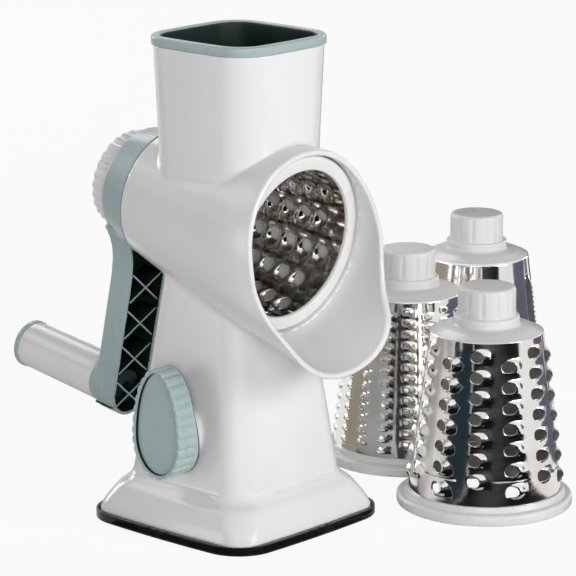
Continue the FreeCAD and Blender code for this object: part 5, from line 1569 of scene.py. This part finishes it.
@dataclass
class Studio:
    """Pale floor and backdrop, soft lamps and the camera."""

    azimuth: float = math.radians(-47.84)
    elevation: float = math.radians(13.813)
    distance: float = 1.9454
    lens: float = 3315.3 / 576.0 * 36.0
    target: Triple = (0.019511, -0.024388, 0.138785)
    middle: Triple = (0.03, -0.02, 0.14)
    lamp_size: float = 1.2
    lamp_distance: float = 3.2
    lamps: tuple[tuple[str, float, float, float], ...] = (
        ("key", 12.0, 20.0, 47.0), ("front", -28.0, 10.0, 21.0),
        ("front_left", -50.0, 12.0, 27.0), ("left", -120.0, 10.0, 11.0),
        ("back_left", -150.0, 40.0, 7.0), ("back_right", 150.0, 40.0, 15.0),
        ("back", 180.0, 15.0, 20.0), ("right", 92.0, 12.0, 10.0))
    cards: tuple[tuple[str, Triple, float, float], ...] = (
        ("black", (0.006, 0.006, 0.008), -22.0, 57.0),
        ("teal", (0.02, 0.035, 0.042), -60.0, -23.0),
        ("olive", (0.33, 0.31, 0.25), -112.0, -74.0),
        ("slate", (0.13, 0.14, 0.19), 94.0, 128.0),
        ("brown", (0.24, 0.20, 0.17), 130.0, 142.0),
        ("shade", (0.05, 0.05, 0.055), 152.0, 178.0))
    card_middle: tuple[float, float] = (0.15, -0.03)
    card_reach: tuple[float, float] = (0.02, 0.6)
    card_height: float = 0.3
    floor_half: float = 9.0

    @staticmethod
    def away(azimuth: float, elevation: float) -> Vector:
        """Direction at a bearing and a height, in radians; bearing nought is the front."""
        return Vector((math.sin(azimuth) * math.cos(elevation),
                       -math.cos(azimuth) * math.cos(elevation), math.sin(elevation)))

    def camera(self) -> None:
        """Camera on the line back from the target by the distance."""
        back = self.away(self.azimuth, self.elevation)
        right = Vector((math.cos(self.azimuth), math.sin(self.azimuth), 0.0))
        up = back.cross(right)
        where = Vector(self.target) + back * self.distance
        data = bpy.data.cameras.new("camera")
        data.sensor_width = 36.0
        data.lens = self.lens
        eye = bpy.data.objects.new("camera", data)
        eye.matrix_world = Matrix([(right[k], up[k], back[k], where[k]) for k in range(3)]
                                  + [(0.0, 0.0, 0.0, 1.0)])
        bpy.context.scene.collection.objects.link(eye)
        bpy.context.scene.camera = eye

    def lamp(self, name: str, azimuth: float, elevation: float, power: float) -> None:
        """Square area lamp at a bearing and a height, in degrees, that looks at the machine."""
        away = self.away(math.radians(azimuth), math.radians(elevation))
        data = bpy.data.lights.new(name, "AREA")
        data.shape = "SQUARE"
        data.size = self.lamp_size
        data.energy = power
        made = bpy.data.objects.new(name, data)
        made.location = Vector(self.middle) + away * self.lamp_distance
        made.rotation_euler = away.to_track_quat("Z", "Y").to_euler()
        bpy.context.scene.collection.objects.link(made)

    @staticmethod
    def pale(name: str, solid_share: float) -> bpy.types.Material:
        """Matt pale card that camera, mirror and clear rays see as nearly white.

        Args:
            name: the material's name.
            solid_share: how much of the card's own shading those rays still see.

        Returns:
            The material.
        """
        nodes = Recipe(name)
        nodes.feed(nodes.shader, Roughness=0.9, Base_Color=(0.9, 0.9, 0.9, 1.0))
        glow = nodes.add("ShaderNodeEmission", Strength=1.0)
        share = nodes.chain("ShaderNodeMath", nodes.seen(), 1.0 - solid_share,
                            operation="MULTIPLY")
        nodes.show(nodes.chain("ShaderNodeMixShader", share, nodes.shader.outputs[0],
                               glow.outputs[0]))
        return nodes.material

    @staticmethod
    def card(name: str, corners: Sequence[Triple],
             material: bpy.types.Material) -> bpy.types.Object:
        """Flat four-cornered card of the studio."""
        mesh = bpy.data.meshes.new(name)
        mesh.from_pydata([tuple(c) for c in corners], [], [(0, 1, 2, 3)])
        mesh.materials.append(material)
        made = bpy.data.objects.new(name, mesh)
        bpy.context.scene.collection.objects.link(made)
        return made

    @staticmethod
    def world() -> None:
        """Faint even light all round; camera, mirror and clear rays see it white."""
        world = bpy.data.worlds.new("studio")
        bpy.context.scene.world = world
        world.use_nodes = True
        nodes = Nodes(world.node_tree)
        white = (1.0, 1.0, 1.0, 1.0)
        faint = nodes.tree.nodes["Background"]
        nodes.feed(faint, Color=white, Strength=0.03)
        bright = nodes.add("ShaderNodeBackground", Color=white, Strength=1.0)
        nodes.fill(nodes.tree.nodes["World Output"].inputs[0],
                   nodes.chain("ShaderNodeMixShader", nodes.seen(), faint.outputs[0],
                               bright.outputs[0]))

    def flags(self) -> None:
        """Tinted cards round the part that only mirror-like surfaces see, as in any studio.

        Each card stands upright between two turns about the part, a chord of a circle, and
        runs on along the floor.
        """
        x, y = self.card_middle
        for name, colour, start, end in self.cards:
            nodes = Recipe("card_" + name)
            glow = nodes.add("ShaderNodeEmission", Strength=1.0, Color=(*colour, 1.0))
            nodes.show(glow.outputs[0])
            ends = [self.azimuth + math.radians(turn) for turn in (start, end)]
            near, low = ([(x + reach * math.sin(a), y - reach * math.cos(a), 0.001)
                          for a in ends] for reach in self.card_reach)
            high = [(*corner[:2], self.card_height) for corner in low]
            for part, corners in (("upright", [low[0], low[1], high[1], high[0]]),
                                  ("floor", [near[0], near[1], low[1], low[0]])):
                made = self.card(f"card_{name}_{part}", corners, nodes.material)
                for ray in ("camera", "diffuse", "shadow", "transmission", "volume_scatter"):
                    setattr(made, "visible_" + ray, False)

    def build(self) -> None:
        """Puts up floor, lamps, surroundings and camera."""
        half = self.floor_half
        self.card("studio_floor", [(-half, -half, 0.0), (half, -half, 0.0), (half, half, 0.0),
                                   (-half, half, 0.0)], self.pale("pale_floor", 0.09))
        self.world()
        self.flags()
        for lamp in self.lamps:
            self.lamp(*lamp)
        bpy.context.scene.view_settings.view_transform = "Standard"
        self.camera()


def main() -> None:
    """Builds every sub-assembly in order, then the studio."""
    logging.basicConfig(level=logging.INFO, format="%(name)s: %(message)s")
    house = Housing()
    crank = Crank()
    house.build()
    Pusher(house).build()
    Drum("drum", Cutting.FITTED, fitted_place, FITTED_STEEL_PAINTED_SHADE, FITTED_STEEL_PAINTED_SHADE).build()
    for name, cutting, x, y in (("spare_coarse", Cutting.COARSE, 118.0, -95.0),
                                ("spare_fine", Cutting.FINE, 162.0, 4.0),
                                ("spare_slicer", Cutting.SLICER, 270.0, 36.0)):
        Drum(name, cutting, floor_place(x, y), STEEL, STEEL_DULL).build()
    crank.build()
    LockNut().build()
    Grip(crank).build()
    Knob().build()
    Foot().build()
    InnerWorks().build()
    Studio().build()


if __name__ == "__main__":
    main()
